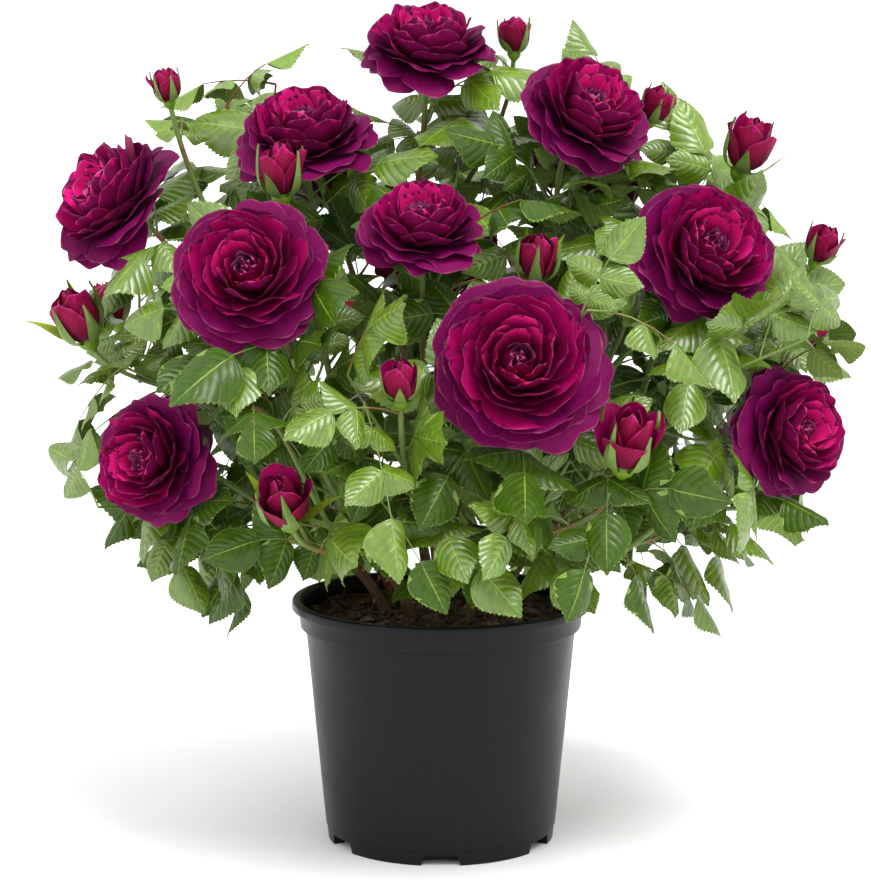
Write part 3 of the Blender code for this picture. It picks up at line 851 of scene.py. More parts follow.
def made_leaf(root, heading, upper, size, long, leaflet_long, count, rng, shade):
    """A compound leaf: its stalk's points and the place of each leaflet on it."""
    reach = (long - leaflet_long) * size
    droop = rng.uniform(*STALK_DROOP)
    stalk = []
    for i in range(STALK_STEPS + 1):
        t = i / STALK_STEPS
        stalk.append(root + heading * (reach * t) - UP * (droop * reach * t * t))
    leaflets = []
    for place, hand, scale in LEAFLETS[:count]:
        point, along = at(stalk, min(place, 0.999))
        normal = (upper - along * upper.dot(along)).normalized()
        way = along
        if hand:
            turn = hand * SIDE_TURN * rng.uniform(*UNEVEN)
            way = Matrix.Rotation(-turn, 3, normal) @ along
        way = (way - UP * rng.uniform(*LEAFLET_SAG)).normalized()
        normal = (normal - way * normal.dot(way)).normalized()
        normal = Matrix.Rotation(rng.uniform(-LEAFLET_ROLL, LEAFLET_ROLL), 3, way) @ normal
        grown = leaflet_long * size * scale * rng.uniform(*LEAFLET_GROWTH)
        leaflets.append(Leaflet(point, way, normal, grown, rng.randrange(VARIANTS)))
    return Leaf(stalk, STALK_RADIUS * (0.6 + 0.4 * size), leaflets, shade)


def leaf_outline(leaf):
    """Two flat triangles a leaflet and one for the stalk, by which leaves are kept apart."""
    stalk = leaf.rachis
    points = [stalk[0].lerp(stalk[1], STALK_BARE), stalk[2], stalk[-1], stalk[1], stalk[3]]
    faces = [(0, 1, 2)]
    for one in leaf.leaflets:
        side = one.heading.cross(one.normal) * (one.long * LEAFLET_WIDE)
        middle = one.root + one.heading * (one.long * OUTLINE_WIDEST)
        tip = one.root + one.heading * one.long - one.normal * (one.long * OUTLINE_SINK)
        first = len(points)
        points += [one.root, middle + side, tip, middle - side]
        faces += [(first, first + 1, first + 2), (first, first + 2, first + 3)]
    return points, faces


def leaf_roots(path, spacing, first, rng):
    """Places along a stem where a leaf leaves it, in a spiral."""
    long = long_of(path)
    spin = rng.uniform(0, 2 * math.pi)
    gone = first
    while gone < long * 0.98:
        root, along = at(path, gone / long)
        yield root, along, spin
        spin += GOLDEN_ANGLE
        gone += spacing * rng.uniform(*UNEVEN)


def upper_of(root, heading, roll):
    """The upper side of a leaf, which turns out of the bush and up to the light."""
    outward = Vector((root.x, root.y, root.z - CROWN_MIDDLE / 2)).normalized()
    upper = outward * FACE_OUT + UP * FACE_UP + TO_LIGHT * FACE_LIGHT
    upper = (upper - heading * upper.dot(heading)).normalized()
    return Matrix.Rotation(roll, 3, heading) @ upper


def flower_hull(tip):
    """A closed hull round a flower or bud, which leaves keep out of."""
    across, upwards = square_frame(tip.axis)
    rings = HULLS[tip.kind]
    points, faces = [], []
    for s, r in rings:
        for i in range(HULL_SIDES):
            a = 2 * math.pi * i / HULL_SIDES
            way = across * math.cos(a) + upwards * math.sin(a)
            points.append(tip.place + (tip.axis * s + way * (r * FLOWER_HULL)) * tip.radius)
    for k in range(len(rings) - 1):
        low, high = k * HULL_SIDES, (k + 1) * HULL_SIDES
        for i in range(HULL_SIDES):
            j = (i + 1) % HULL_SIDES
            faces.append((low + i, low + j, high + j, high + i))
    return points, faces


def tube_hull(path, radius):
    """A three-sided hull round a stem."""
    pattern = tube_pattern(3, len(path) - 1)
    points = tube_points(pattern, path, [radius] * len(path))
    starts = np.concatenate(([0], np.cumsum(pattern.sizes)))
    faces = [tuple(pattern.corners[a:b]) for a, b in zip(starts, starts[1:])]
    return [Vector(p) for p in points], faces


class Foliage:
    """The leaves placed so far, kept apart from each other, from stems and from flowers."""

    def __init__(self, canes, sprays, space, long, leaflet_long):
        self.space, self.long, self.leaflet_long = space, long, leaflet_long
        self.leaves, self.trees, self.centres, self.reaches = [], [], [], []
        self.eyes = []
        hulls = [tube_hull(path[::5], CANE_HULL) for path in canes.values()]
        for tips, paths in sprays.values():
            hulls += [tube_hull(path[::3], STEM_HULL) for path in paths]
            for tip in tips:
                if tip.kind != "shoot":
                    hulls.append(flower_hull(tip))
                    self.eyes.append((tip.place, tip.axis, tip.radius))
        points, faces = [], []
        for hull_points, hull_faces in hulls:
            faces += [tuple(corner + len(points) for corner in face) for face in hull_faces]
            points += hull_points
        self.solid = BVHTree.FromPolygons(points, faces)

    def left_out(self, root, rng):
        """Whether a leaf at this root is left out: right behind a flower, and by chance elsewhere,
        most often deep inside the bush and at its edge."""
        if any((root - place).length < BEHIND_FLOWER * radius for place, _, radius in self.eyes):
            return True
        chance = np.interp(outwardness(root), KEPT_AWAY, KEPT_OUTWARDS)
        return rng.random() > chance * np.interp(root.z, KEPT_HEIGHTS, KEPT_UPWARDS)

    def hides_flower(self, points):
        """Whether a point lies close in front of a flower's face, or hides a flower of the front
        half from the side that the bush is shown from."""
        for place, axis, radius in self.eyes:
            ways = [(axis, FACE_CLEAR * radius, FACE_WIDE * radius)]
            if place.y < SHOWN_DEPTH:
                ways.append(((SEEN_FROM - place).normalized(), VIEW_CLEAR, VIEW_WIDE * radius))
            away = points - np.array(place)
            for way, far, wide in ways:
                ahead = away @ np.array(way)
                aside = np.linalg.norm(away - ahead[:, None] * np.array(way), axis=1)
                if ((ahead > 0.0) & (ahead < far) & (aside < wide)).any():
                    return True
        return False

    def try_leaf(self, owner, leaf):
        """Adds the leaf if it fits, and says whether it did."""
        points, faces = leaf_outline(leaf)
        cloud = np.array([tuple(p) for p in points])
        if not in_crown(cloud) or self.hides_flower(cloud) or not self.space.holds(owner, cloud):
            return False
        tree = BVHTree.FromPolygons(points, faces)
        if tree.overlap(self.solid):
            return False
        centre = cloud.mean(axis=0)
        reach = np.linalg.norm(cloud - centre, axis=1).max()
        if self.centres:
            away = np.linalg.norm(np.array(self.centres) - centre, axis=1)
            near = away < np.array(self.reaches) + reach
            if any(tree.overlap(self.trees[i]) for i in np.flatnonzero(near)):
                return False
        self.leaves.append(leaf)
        self.trees.append(tree)
        self.centres.append(centre)
        self.reaches.append(reach)
        return True

    def grow_leaf(self, owner, root, along, spin, rng, sure=False):
        """Tries sizes, rises and swings until the leaf fits, and says whether it did."""
        if not sure and self.left_out(root, rng):
            return False
        across, upwards = square_frame(along)
        roll = rng.uniform(-LEAF_ROLL, LEAF_ROLL)
        count = 5 if rng.random() < 0.5 else 3
        shade = painted_shade_of(root, rng)
        start = rng.uniform(*LEAF_GROWTH)
        sag = np.interp(root.z, SAG_HEIGHTS, SAGS)
        for size, rise, swing in itertools.product(LEAF_SIZES, LEAF_RISES, LEAF_SWINGS):
            turn = spin + math.radians(swing)
            out = across * math.cos(turn) + upwards * math.sin(turn)
            lift = math.radians(rise)
            heading = (along * math.cos(lift) + out * math.sin(lift) - UP * sag).normalized()
            tip = root + heading * (self.long * size * start * 0.92) - UP * (LEAF_SINK * size)
            ends = np.array([tuple(tip), tuple(root.lerp(tip, 0.6))])
            if not in_crown(ends) or not self.space.holds(owner, ends):
                continue
            upper = upper_of(root, heading, roll)
            grown = size * start
            leaf = made_leaf(
                root, heading, upper, grown, self.long, self.leaflet_long, count, rng, shade
            )
            if self.try_leaf(owner, leaf):
                return True
        return False


def grown_twig(owner, root, along, spin, space, rng):
    """A short side twig that curves up from its stem, or None if it would leave its space."""
    across, upwards = square_frame(along)
    for swing in TWIG_SWINGS:
        turn = spin + math.radians(swing)
        out = across * math.cos(turn) + upwards * math.sin(turn)
        way = (along * 0.6 + out * 0.8).normalized()
        outward = Vector((root.x, root.y, 0.0))
        outward = outward.normalized() if outward.length > 0.01 else UP
        end_way = (way + outward * TWIG_OUT + UP * TWIG_RISE).normalized()
        for long in (rng.uniform(*TWIG_LONG), TWIG_SHORT):
            end = root + (way * 0.6 + end_way * 0.4).normalized() * long
            cloud = np.array([tuple(end), tuple(root.lerp(end, 0.6))])
            if in_crown(cloud * TWIG_CLEAR) and space.holds(owner, cloud):
                return bend(root, way, end, end_way, TWIG_STEPS)
    return None


def cut_at(path, place):
    """The path as far as a place on it."""
    far = (place - path[0]).length
    return [point for point in path if (point - path[0]).length < far] + [place]


def clothe(foliage, owner, path, spacing, first, rng):
    """Grows leaves at a path's end and along it, and gives the place of its furthest leaf."""
    end_way = (path[-1] - path[-2]).normalized()
    full = foliage.grow_leaf(owner, path[-1], end_way, rng.uniform(0, 6.28), rng, sure=True)
    last = path[-1] if full else None
    for root, along, spin in leaf_roots(path, spacing, first, rng):
        if foliage.grow_leaf(owner, root, along, spin, rng) and not full:
            last = root
    return last


def leaf_along(foliage, owner, path, spacing, first, rng):
    """Grows leaves along a path."""
    for root, along, spin in leaf_roots(path, spacing, first, rng):
        foliage.grow_leaf(owner, root, along, spin, rng)


def grow_twigs(foliage, owner, path, twig_spacing, first, spacing, rng):
    """Grows leafy side twigs along a path, and gives them with their roots."""
    twigs = []
    for root, along, spin in leaf_roots(path, twig_spacing, first, rng):
        twig = grown_twig(owner, root, along, spin, foliage.space, rng)
        if twig and not foliage.hides_flower(np.array([tuple(point) for point in twig])):
            last = clothe(foliage, owner, twig, spacing * TWIG_DENSER, TWIG_BARE, rng)
            if last:
                kept = cut_at(twig, last)
                radii = [TWIG_RADIUS - TWIG_TAPER * i / (len(kept) - 1) for i in range(len(kept))]
                twigs.append(Stem(kept, radii, True))
    return twigs


@functools.lru_cache(maxsize=2)
def grown_plant(long, leaflet_long, spacing, twig_spacing):
    """All green stems and all leaves of the plant."""
    canes, sprays = skeleton()
    space = Space(OVERREACH)
    for cane, path in canes.items():
        for point in path[len(path) // 4::4]:
            space.add(cane, point)
    for spray, (tips, paths) in sprays.items():
        for path in paths:
            for point in path[::3]:
                space.add(spray, point)
        for tip in tips:
            if tip.kind != "shoot":
                space.add(spray, tip.place, tip.radius)
    space.close()
    foliage = Foliage(canes, sprays, space, long, leaflet_long)
    stems = []
    for cane, path in canes.items():
        rng = random.Random(f"{cane} {SEED}")
        bare = long_of(path) * CANE_BARE
        stems += grow_twigs(foliage, cane, path, twig_spacing * 0.6, bare, spacing, rng)
        leaf_along(foliage, cane, path, spacing * 1.5, bare, rng)
    for spray, (tips, paths) in sprays.items():
        rng = random.Random(f"{spray} {SEED}")
        for index, path in enumerate(paths):
            last = path[-1]
            if tips[index].kind == "shoot":
                last = clothe(foliage, spray, path, spacing, spacing * 0.9, rng) or path[0]
            else:
                leaf_along(foliage, spray, path, spacing, spacing * 0.9, rng)
            twigs = grow_twigs(
                foliage, spray, path, twig_spacing, twig_spacing * 0.6, spacing, rng
            )
            ends = [last] + [twig.path[0] for twig in twigs]
            kept = cut_at(path, max(ends, key=lambda place: (place - path[0]).length))
            wide, narrow = (STEM_RADIUS, NECK_RADIUS) if index == 0 else (NECK_RADIUS, SHOOT_RADIUS)
            radii = [wide + (narrow - wide) * i / (len(path) - 1) for i in range(len(kept))]
            if len(kept) > 2:
                stems.append(Stem(kept, radii, index > 0))
            stems += twigs
    return stems, foliage.leaves


def plant():
    """The plant as the settings have it."""
    chosen = settings().leaves
    return grown_plant(chosen.leaf_long, chosen.leaflet_long, chosen.spacing, chosen.twig_spacing)


# --- materials ---
def add(tree, kind, options=None, inputs=None):
    """Adds a node with its options, and with numbers or other nodes' sockets on its inputs."""
    made = tree.nodes.new(kind)
    for key, value in (options or {}).items():
        setattr(made, key, value)
    for key, value in (inputs or {}).items():
        if isinstance(value, bpy.types.NodeSocket):
            tree.links.new(value, made.inputs[key])
        else:
            made.inputs[key].default_value = value
    return made


def finish(name, **sockets):
    """A material made afresh with the given plain numbers, and its tree and shader."""
    made = bpy.data.materials.get(name) or bpy.data.materials.new(name)
    made.use_nodes = True
    tree = made.node_tree
    tree.nodes.clear()
    shader = add(tree, "ShaderNodeBsdfPrincipled")
    add(tree, "ShaderNodeOutputMaterial", None, {"Surface": shader.outputs["BSDF"]})
    for key, value in sockets.items():
        shader.inputs[key.replace("_", " ")].default_value = value
    return made, tree, shader


def mixed(tree, factor, first, second):
    """The socket of a colour that goes from first to second."""
    made = add(tree, "ShaderNodeMix", {"data_type": "RGBA"})
    for index, value in ((0, factor), (6, first), (7, second)):
        if isinstance(value, bpy.types.NodeSocket):
            tree.links.new(value, made.inputs[index])
        elif index:
            made.inputs[index].default_value = (*value[:3], 1.0)
        else:
            made.inputs[index].default_value = value
    return made.outputs[2]


def painted(tree, shader, factor, first, second):
    """Gives the shader a colour that goes from first to second."""
    tree.links.new(mixed(tree, factor, first, second), shader.inputs["Base Color"])


def toned(hue, factor):
    """A colour made darker or lighter."""
    return tuple(part * factor for part in hue)


def maths(tree, operation, first, second=0.0, third=0.0):
    """The socket of a sum on numbers or sockets."""
    numbers = {0: first, 1: second, 2: third}
    return add(tree, "ShaderNodeMath", {"operation": operation}, numbers).outputs[0]


def ramp(tree, value, low, high):
    """The socket of a value that goes smoothly from 0 at low to 1 at high."""
    made = add(
        tree,
        "ShaderNodeMapRange",
        {"interpolation_type": "SMOOTHSTEP"},
        {"Value": value, "From Min": low, "From Max": high},
    )
    return made.outputs["Result"]


def grains(tree, place, scale, detail=2.0):
    """The socket of a cloudy noise, from 0 to 1."""
    numbers = {"Vector": place, "Scale": scale, "Detail": detail}
    return add(tree, "ShaderNodeTexNoise", None, numbers).outputs["Fac"]


def stretched(tree, place, scale):
    """The socket of a place that is scaled on each axis."""
    return add(tree, "ShaderNodeMapping", None, {"Vector": place, "Scale": scale}).outputs["Vector"]


def solid_place(tree):
    """The socket of a point's own place in the piece, in metres."""
    return add(tree, "ShaderNodeTexCoord").outputs["Object"]


def pattern_place(tree):
    """The pattern's own place across and along, as two sockets, and as one vector."""
    place = add(tree, "ShaderNodeUVMap", {"uv_map": "Pattern"}).outputs["UV"]
    split = add(tree, "ShaderNodeSeparateXYZ", None, {"Vector": place})
    return split.outputs["X"], split.outputs["Y"], place


def bumped(tree, shader, height, strength, distance):
    """Gives the shader a bump of a real depth in metres."""
    numbers = {"Strength": strength, "Distance": distance, "Height": height}
    bump = add(tree, "ShaderNodeBump", None, numbers)
    tree.links.new(bump.outputs["Normal"], shader.inputs["Normal"])


def aside_of(tree, across):
    """The socket of how far a point is aside of the middle line, from 0 to 1."""
    return maths(tree, "ABSOLUTE", maths(tree, "MULTIPLY_ADD", across, 2.0, -1.0))


def vein_lines(tree):
    """How far a point is from the side veins and from the midrib of a leaflet, each from 0 to 1,
    and how far it is aside. Seven veins a side, which bend towards the tip."""
    across, along, place = pattern_place(tree)
    aside = aside_of(tree, across)
    curve = maths(tree, "MULTIPLY", aside, maths(tree, "MULTIPLY_ADD", aside, 0.13, 0.15))
    climb = maths(tree, "MULTIPLY", maths(tree, "SUBTRACT", along, curve), 7.0)
    from_vein = maths(tree, "MULTIPLY", maths(tree, "PINGPONG", climb, 0.5), 2.0)
    from_rib = ramp(tree, aside, 0.0, 0.045)
    return from_vein, from_rib, aside, place


def leaf_green(name, green, vein, gloss):
    """Rose leaf, upper side: a waxy cuticle over quilted tissue gives a soft gloss that breaks up
    between the veins. The midrib and the toothed edge are paler."""
    made, tree, shader = finish(name, Roughness=0.30, Specular_IOR_Level=gloss, IOR=1.45)
    from_vein, from_rib, aside, place = vein_lines(tree)
    mottle = grains(tree, place, 4.0, 3.0)
    body = mixed(tree, ramp(tree, mottle, 0.35, 0.65), toned(green, 0.70), green)
    side_vein = maths(tree, "MULTIPLY_ADD", ramp(tree, from_vein, 0.0, 0.14), -0.07, 0.07)
    rib = maths(tree, "MULTIPLY_ADD", from_rib, -0.6, 0.6)
    edge = maths(tree, "MULTIPLY", ramp(tree, aside, 0.97, 1.0), 0.3)
    paler = maths(tree, "MAXIMUM", maths(tree, "MAXIMUM", side_vein, rib), edge)
    painted(tree, shader, paler, body, vein)
    options, numbers = {"feature": "DISTANCE_TO_EDGE"}, {"Vector": place, "Scale": 15.0}
    small = add(tree, "ShaderNodeTexVoronoi", options, numbers).outputs["Distance"]
    hollow = maths(tree, "POWER", maths(tree, "SUBTRACT", 1.0, from_vein), 2.0)
    quilt = maths(tree, "MULTIPLY", maths(tree, "SUBTRACT", 1.0, hollow), from_rib)
    height = maths(tree, "MULTIPLY_ADD", small, 0.25, quilt)
    bumped(tree, shader, height, 0.40, 0.001)
    return made


def leaf_under(name, under, vein):
    """Rose leaf, underside: matt and paler, with the veins standing out."""
    made, tree, shader = finish(name, Roughness=0.7, Specular_IOR_Level=0.2)
    from_vein, from_rib, _, _ = vein_lines(tree)
    line = maths(tree, "MINIMUM", ramp(tree, from_vein, 0.0, 0.2), from_rib)
    painted(tree, shader, line, vein, under)
    bumped(tree, shader, maths(tree, "SUBTRACT", 1.0, line), 0.4, 0.0008)
    return made


def hip_skin(name, green):
    """Rose hip below a flower: smooth and green, with a dull wax bloom."""
    made, tree, shader = finish(name, Roughness=0.5, Specular_IOR_Level=0.35)
    cloud = grains(tree, solid_place(tree), 90.0)
    painted(tree, shader, cloud, toned(green, 0.7), green)
    bumped(tree, shader, cloud, 0.2, 0.0005)
    return made


def petal_velvet(name, hue, rim, rim_and_highlight_share):
    """Rose petal: tiny cone-shaped cells scatter light like velvet, deep where it is seen straight
    on and brighter where it turns away, with fine veins along it and a thin paler edge."""
    made, tree, shader = finish(name, Roughness=0.55, Specular_IOR_Level=0.08)
    shader.inputs["Sheen Weight"].default_value = 0.008
    shader.inputs["Sheen Roughness"].default_value = 0.38
    shader.inputs["Sheen Tint"].default_value = (*linear("#e58abf"), 1.0)
    across, along, place = pattern_place(tree)
    aside = aside_of(tree, across)
    veins = grains(tree, stretched(tree, place, (26.0, 2.2, 1.0)), 1.0)
    bright = tuple(min(1.0, part * 1.25) for part in hue)
    body = mixed(tree, ramp(tree, veins, 0.3, 0.75), hue, bright)
    # Painted shade: the petal darkens towards its foot, in the flower's heart.
    body = mixed(tree, ramp(tree, along, 0.35, 0.85), toned(hue, 0.6), body)
    # The pale rim: partly the petal's paler edge, partly a painted highlight where the edge catches
    # light.
    edge = maths(tree, "MAXIMUM", ramp(tree, along, 0.975, 0.995), ramp(tree, aside, 0.90, 0.96))
    broken = ramp(tree, grains(tree, place, 6.0), 0.3, 0.6)
    edge = maths(tree, "MULTIPLY", edge, maths(tree, "MULTIPLY", broken, rim_and_highlight_share))
    painted(tree, shader, edge, body, rim)
    bumped(tree, shader, veins, 0.35, 0.0006)
    return made


def stem_skin(name, green, flush):
    """Young rose stem: smooth green skin, flushed red in patches, with a faint wax bloom."""
    made, tree, shader = finish(name, Roughness=0.45, Specular_IOR_Level=0.4)
    place = solid_place(tree)
    patches = grains(tree, place, 16.0, 3.0)
    painted(tree, shader, ramp(tree, patches, 0.5, 0.68), green, flush)
    bumped(tree, shader, grains(tree, place, 900.0), 0.2, 0.0004)
    return made


def cane_bark(name, bark, green):
    """Old rose cane: thin corky bark, split lengthways, brown with green showing through."""
    made, tree, shader = finish(name, Roughness=0.72, Specular_IOR_Level=0.3)
    splits = grains(tree, stretched(tree, pattern_place(tree)[2], (9.0, 14.0, 1.0)), 1.6, 5.0)
    patches = grains(tree, solid_place(tree), 26.0, 4.0)
    body = mixed(tree, ramp(tree, patches, 0.48, 0.62), bark, green)
    painted(tree, shader, ramp(tree, splits, 0.30, 0.55), toned(bark, 0.55), body)
    bumped(tree, shader, splits, 0.7, 0.0008)
    return made


def pot_plastic(name, plastic):
    """Moulded polypropylene: satin black, with the faint orange-peel of the mould and fine
    upright scuffs. The peel is drawn at 1 mm, coarser than life, so that it shows."""
    made, tree, shader = finish(name, Roughness=0.40, Specular_IOR_Level=0.18, IOR=1.49)
    place = solid_place(tree)
    peel = grains(tree, place, 700.0)
    scuffs = grains(tree, stretched(tree, place, (260.0, 260.0, 9.0)), 1.0, 4.0)
    dust = grains(tree, place, 22.0, 6.0)
    grey = tuple(part * 1.5 + 0.002 for part in plastic)
    marks = maths(tree, "MULTIPLY", ramp(tree, scuffs, 0.5, 0.8), ramp(tree, dust, 0.3, 0.8))
    painted(tree, shader, marks, plastic, grey)
    rough = maths(tree, "MULTIPLY_ADD", ramp(tree, dust, 0.3, 0.7), 0.10, 0.32)
    tree.links.new(rough, shader.inputs["Roughness"])
    bumped(tree, shader, peel, 0.12, 0.0005)
    return made


def compost(name, brown):
    """Moist peaty compost: dark crumbs that take the light only at their edges."""
    made, tree, shader = finish(name, Roughness=0.92, Specular_IOR_Level=0.2)
    place = solid_place(tree)
    crumbs = add(tree, "ShaderNodeTexVoronoi", None, {"Vector": place, "Scale": 260.0})
    grain = grains(tree, place, 420.0, 5.0)
    painted(tree, shader, ramp(tree, grain, 0.35, 0.7), toned(brown, 0.4), toned(brown, 2.2))
    height = maths(tree, "SUBTRACT", grain, crumbs.outputs["Distance"])
    bumped(tree, shader, height, 0.9, 0.0025)
    return made


def chip_bark(name, brown):
    """Composted pine bark: flaky, with lighter fibres along each chip."""
    made, tree, shader = finish(name, Roughness=0.85, Specular_IOR_Level=0.25)
    flakes = grains(tree, solid_place(tree), 260.0, 5.0)
    painted(tree, shader, ramp(tree, flakes, 0.35, 0.7), toned(brown, 0.3), brown)
    bumped(tree, shader, flakes, 0.8, 0.0012)
    return made


# --- pot and soil ---
def turned(profile, steps):
    """A turned shape: the profile's points, as radius and height, spun once round the Z axis."""
    bm = bmesh.new()
    verts = [bm.verts.new((radius, 0.0, height)) for radius, height in profile]
    edges = [bm.edges.new(pair) for pair in zip(verts, verts[1:])]
    bmesh.ops.spin(
        bm,
        geom=verts + edges,
        axis=(0.0, 0.0, 1.0),
        cent=(0.0, 0.0, 0.0),
        steps=steps,
        angle=2 * math.pi,
        use_merge=True,
    )
    bmesh.ops.remove_doubles(bm, verts=bm.verts, dist=1e-6)
    bmesh.ops.recalc_face_normals(bm, faces=bm.faces)
    return bm


def arc(centre_r, centre_z, radius, first, last, steps):
    """Points on an arc of a profile, with angles in degrees from the outside."""
    angles = [math.radians(first + (last - first) * i / steps) for i in range(steps + 1)]
    return [(centre_r + radius * math.cos(a), centre_z + radius * math.sin(a)) for a in angles]


def pot_outline(pot):
    """The pot's profile: recessed underside, foot band, body, collar, rolled lip and inside."""
    foot, rim, collar = pot.foot_radius, pot.rim_radius, pot.collar_radius
    step = foot + 0.0007 + (BODY_TOP_RADIUS - foot) * FOOT_TALL / POT_HEIGHT
    inner = collar - pot.wall
    wider, taller = BODY_TOP_RADIUS - step, COLLAR_FOOT - FOOT_TALL
    body = [
        (step + wider * i / BODY_STEPS, FOOT_TALL + taller * i / BODY_STEPS)
        for i in range(1, BODY_STEPS)
    ]
    return [
        (0.0, 0.0016),
        (foot - 0.0085, 0.0016),
        (foot - 0.0075, 0.0),
        (foot - 0.0006, 0.0),
        (foot, 0.0006),
        (step - 0.0008, FOOT_TALL - 0.0003),
        (step, FOOT_TALL + 0.0004),
        *body,
        (BODY_TOP_RADIUS, COLLAR_FOOT - 0.0004),
        (collar - 0.0012, COLLAR_FOOT + 0.0004),
        (collar - 0.0002, COLLAR_FOOT + 0.0014),
        (collar + 0.0001, COLLAR_FOOT + 0.004),
        (collar + 0.0008, LIP_FOOT - 0.0012),
        (collar + 0.0014, LIP_FOOT - 0.0002),
        *arc(rim - 0.0011, LIP_FOOT + 0.0011, 0.0011, -80, -6, 4),
        *arc(rim - 0.0018, POT_HEIGHT - 0.0015, 0.0015, 8, 90, 6),
        (inner + 0.0022, POT_HEIGHT - 0.0002),
        (inner + 0.0006, POT_HEIGHT - 0.0012),
        (inner, POT_HEIGHT - 0.003),
        (inner - 0.0004, COLLAR_FOOT + 0.004),
        (BODY_TOP_RADIUS - pot.wall, COLLAR_FOOT),
        (foot + 0.0008 - pot.wall, POT_FLOOR),
        (0.0, POT_FLOOR),
    ]


def notches(foot):
    """Tapered blocks round the foot, wider at the bottom, that cut the drain notches."""
    bm = bmesh.new()
    wide, taper, tall, deep, beyond = 0.030, 0.84, 0.008, 0.012, 0.02
    middle = foot + beyond - (beyond + deep) / 2
    block = Matrix.Diagonal((beyond + deep, wide, tall + 0.002, 1.0))
    for k in range(NOTCHES):
        made = bmesh.ops.create_cube(bm, size=1.0)["verts"]
        place = Matrix.Translation((middle, 0.0, tall / 2 - 0.001))
        bmesh.ops.transform(bm, matrix=place @ block, verts=made)
        upper = [v for v in made if v.co.z > tall / 2]
        bmesh.ops.scale(bm, vec=(1.0, taper, 1.0), verts=upper)
        turn = Matrix.Rotation(math.radians(-90.0 + 360.0 / NOTCHES * k), 3, "Z")
        bmesh.ops.rotate(bm, cent=(0.0, 0.0, 0.0), matrix=turn, verts=made)
    return bpy.data.objects.new("notches", mesh_of("notches", bm))


def build_pot():
    """Makes the turned pot and cuts its drain notches."""
    pot = settings().pot
    made = stand("pot_shell", mesh_of("pot_shell", turned(pot_outline(pot), 144)))
    cutter = notches(pot.foot_radius)
    bpy.context.scene.collection.objects.link(cutter)
    cut = made.modifiers.new("notches", "BOOLEAN")
    cut.operation = "DIFFERENCE"
    cut.object = cutter
    graph = bpy.context.evaluated_depsgraph_get()
    made.data = bpy.data.meshes.new_from_object(made.evaluated_get(graph))
    made.data.name = "pot_shell"
    made.modifiers.clear()
    bpy.data.objects.remove(cutter)
    shade_smooth(made.data)
    made.data.set_sharp_from_angle(angle=math.radians(28.0))
    made.data.materials.clear()
    made.data.materials.append(pot_plastic("moulded_pot_plastic", pot.plastic))
    ride(made, "pot_plastic", "pot")


def soil_height(x, y):
    """The soil's crumbly surface: level in the middle, and a little lower at the wall."""
    away = math.hypot(x, y)
    dip = DIP_DEEP * max(0.0, (away - DIP_START) / DIP_REACH) ** 1.5
    lumps = noise.noise(Vector((x, y, 0.0)) * 60) * 0.0022
    crumbs = noise.noise(Vector((x, y, 1.0)) * 190) * 0.0016
    return SOIL_LEVEL - dip + (lumps + crumbs)


def build_soil():
    """Makes the soil, and strews the bark chips on it."""
    pot = settings().pot
    edge = pot.collar_radius - pot.wall - 0.0002
    profile = [(edge * i / SOIL_RINGS, SOIL_LEVEL) for i in range(SOIL_RINGS + 1)]
    wall_foot = (edge - 0.0012, COLLAR_FOOT + 0.0034)
    low = [wall_foot, (SOIL_FOOT_RADIUS, COLLAR_FOOT), (0.0, COLLAR_FOOT)]
    bm = turned(profile + low, 120)
    for vert in bm.verts:
        if vert.co.z > SOIL_LEVEL - 0.001:
            vert.co.z = soil_height(vert.co.x, vert.co.y)
    made = stand("soil_bed", mesh_of("soil_bed", bm))
    shade_smooth(made.data)
    made.data.materials.append(compost("moist_compost", pot.compost))
    ride(made, "soil", "soil")

    rng = random.Random(f"chips {SEED}")
    block = crumb_pattern()
    chips = Gathering()
    for _ in range(pot.chips):
        away, turn = edge * 0.97 * math.sqrt(rng.random()), rng.uniform(0, 2 * math.pi)
        x, y = away * math.cos(turn), away * math.sin(turn)
        long = rng.choice(CHIP_LONG)
        wide, thick = long * rng.uniform(0.4, 0.75), long * rng.uniform(0.18, 0.34)
        jog = np.array([[rng.uniform(0.78, 1.2) for _ in range(3)] for _ in block.points])
        points = block.points * jog * (long, wide, thick)
        lean = Matrix.Rotation(rng.uniform(0, 6.3), 3, "Z")
        lean = lean @ Matrix.Rotation(rng.gauss(0, 0.4), 3, "X")
        lean = lean @ Matrix.Rotation(rng.gauss(0, 0.3), 3, "Y")
        points = points @ np.array(lean).T + (x, y, soil_height(x, y) + thick * 0.6)
        inside = edge / np.linalg.norm(points[:, :2], axis=1)
        points[:, :2] *= np.minimum(1.0, inside)[:, None]
        chips.add(block, points, (rng.choice((0, 0, 1)),))
    barks = [
        chip_bark("bark_chip_dark", toned(pot.chip_brown, 0.55)),
        chip_bark("bark_chip_brown", pot.chip_brown),
    ]
    made = chips.piece("bark_chips", barks, sharp=30.0)
    ride(made, "soil")


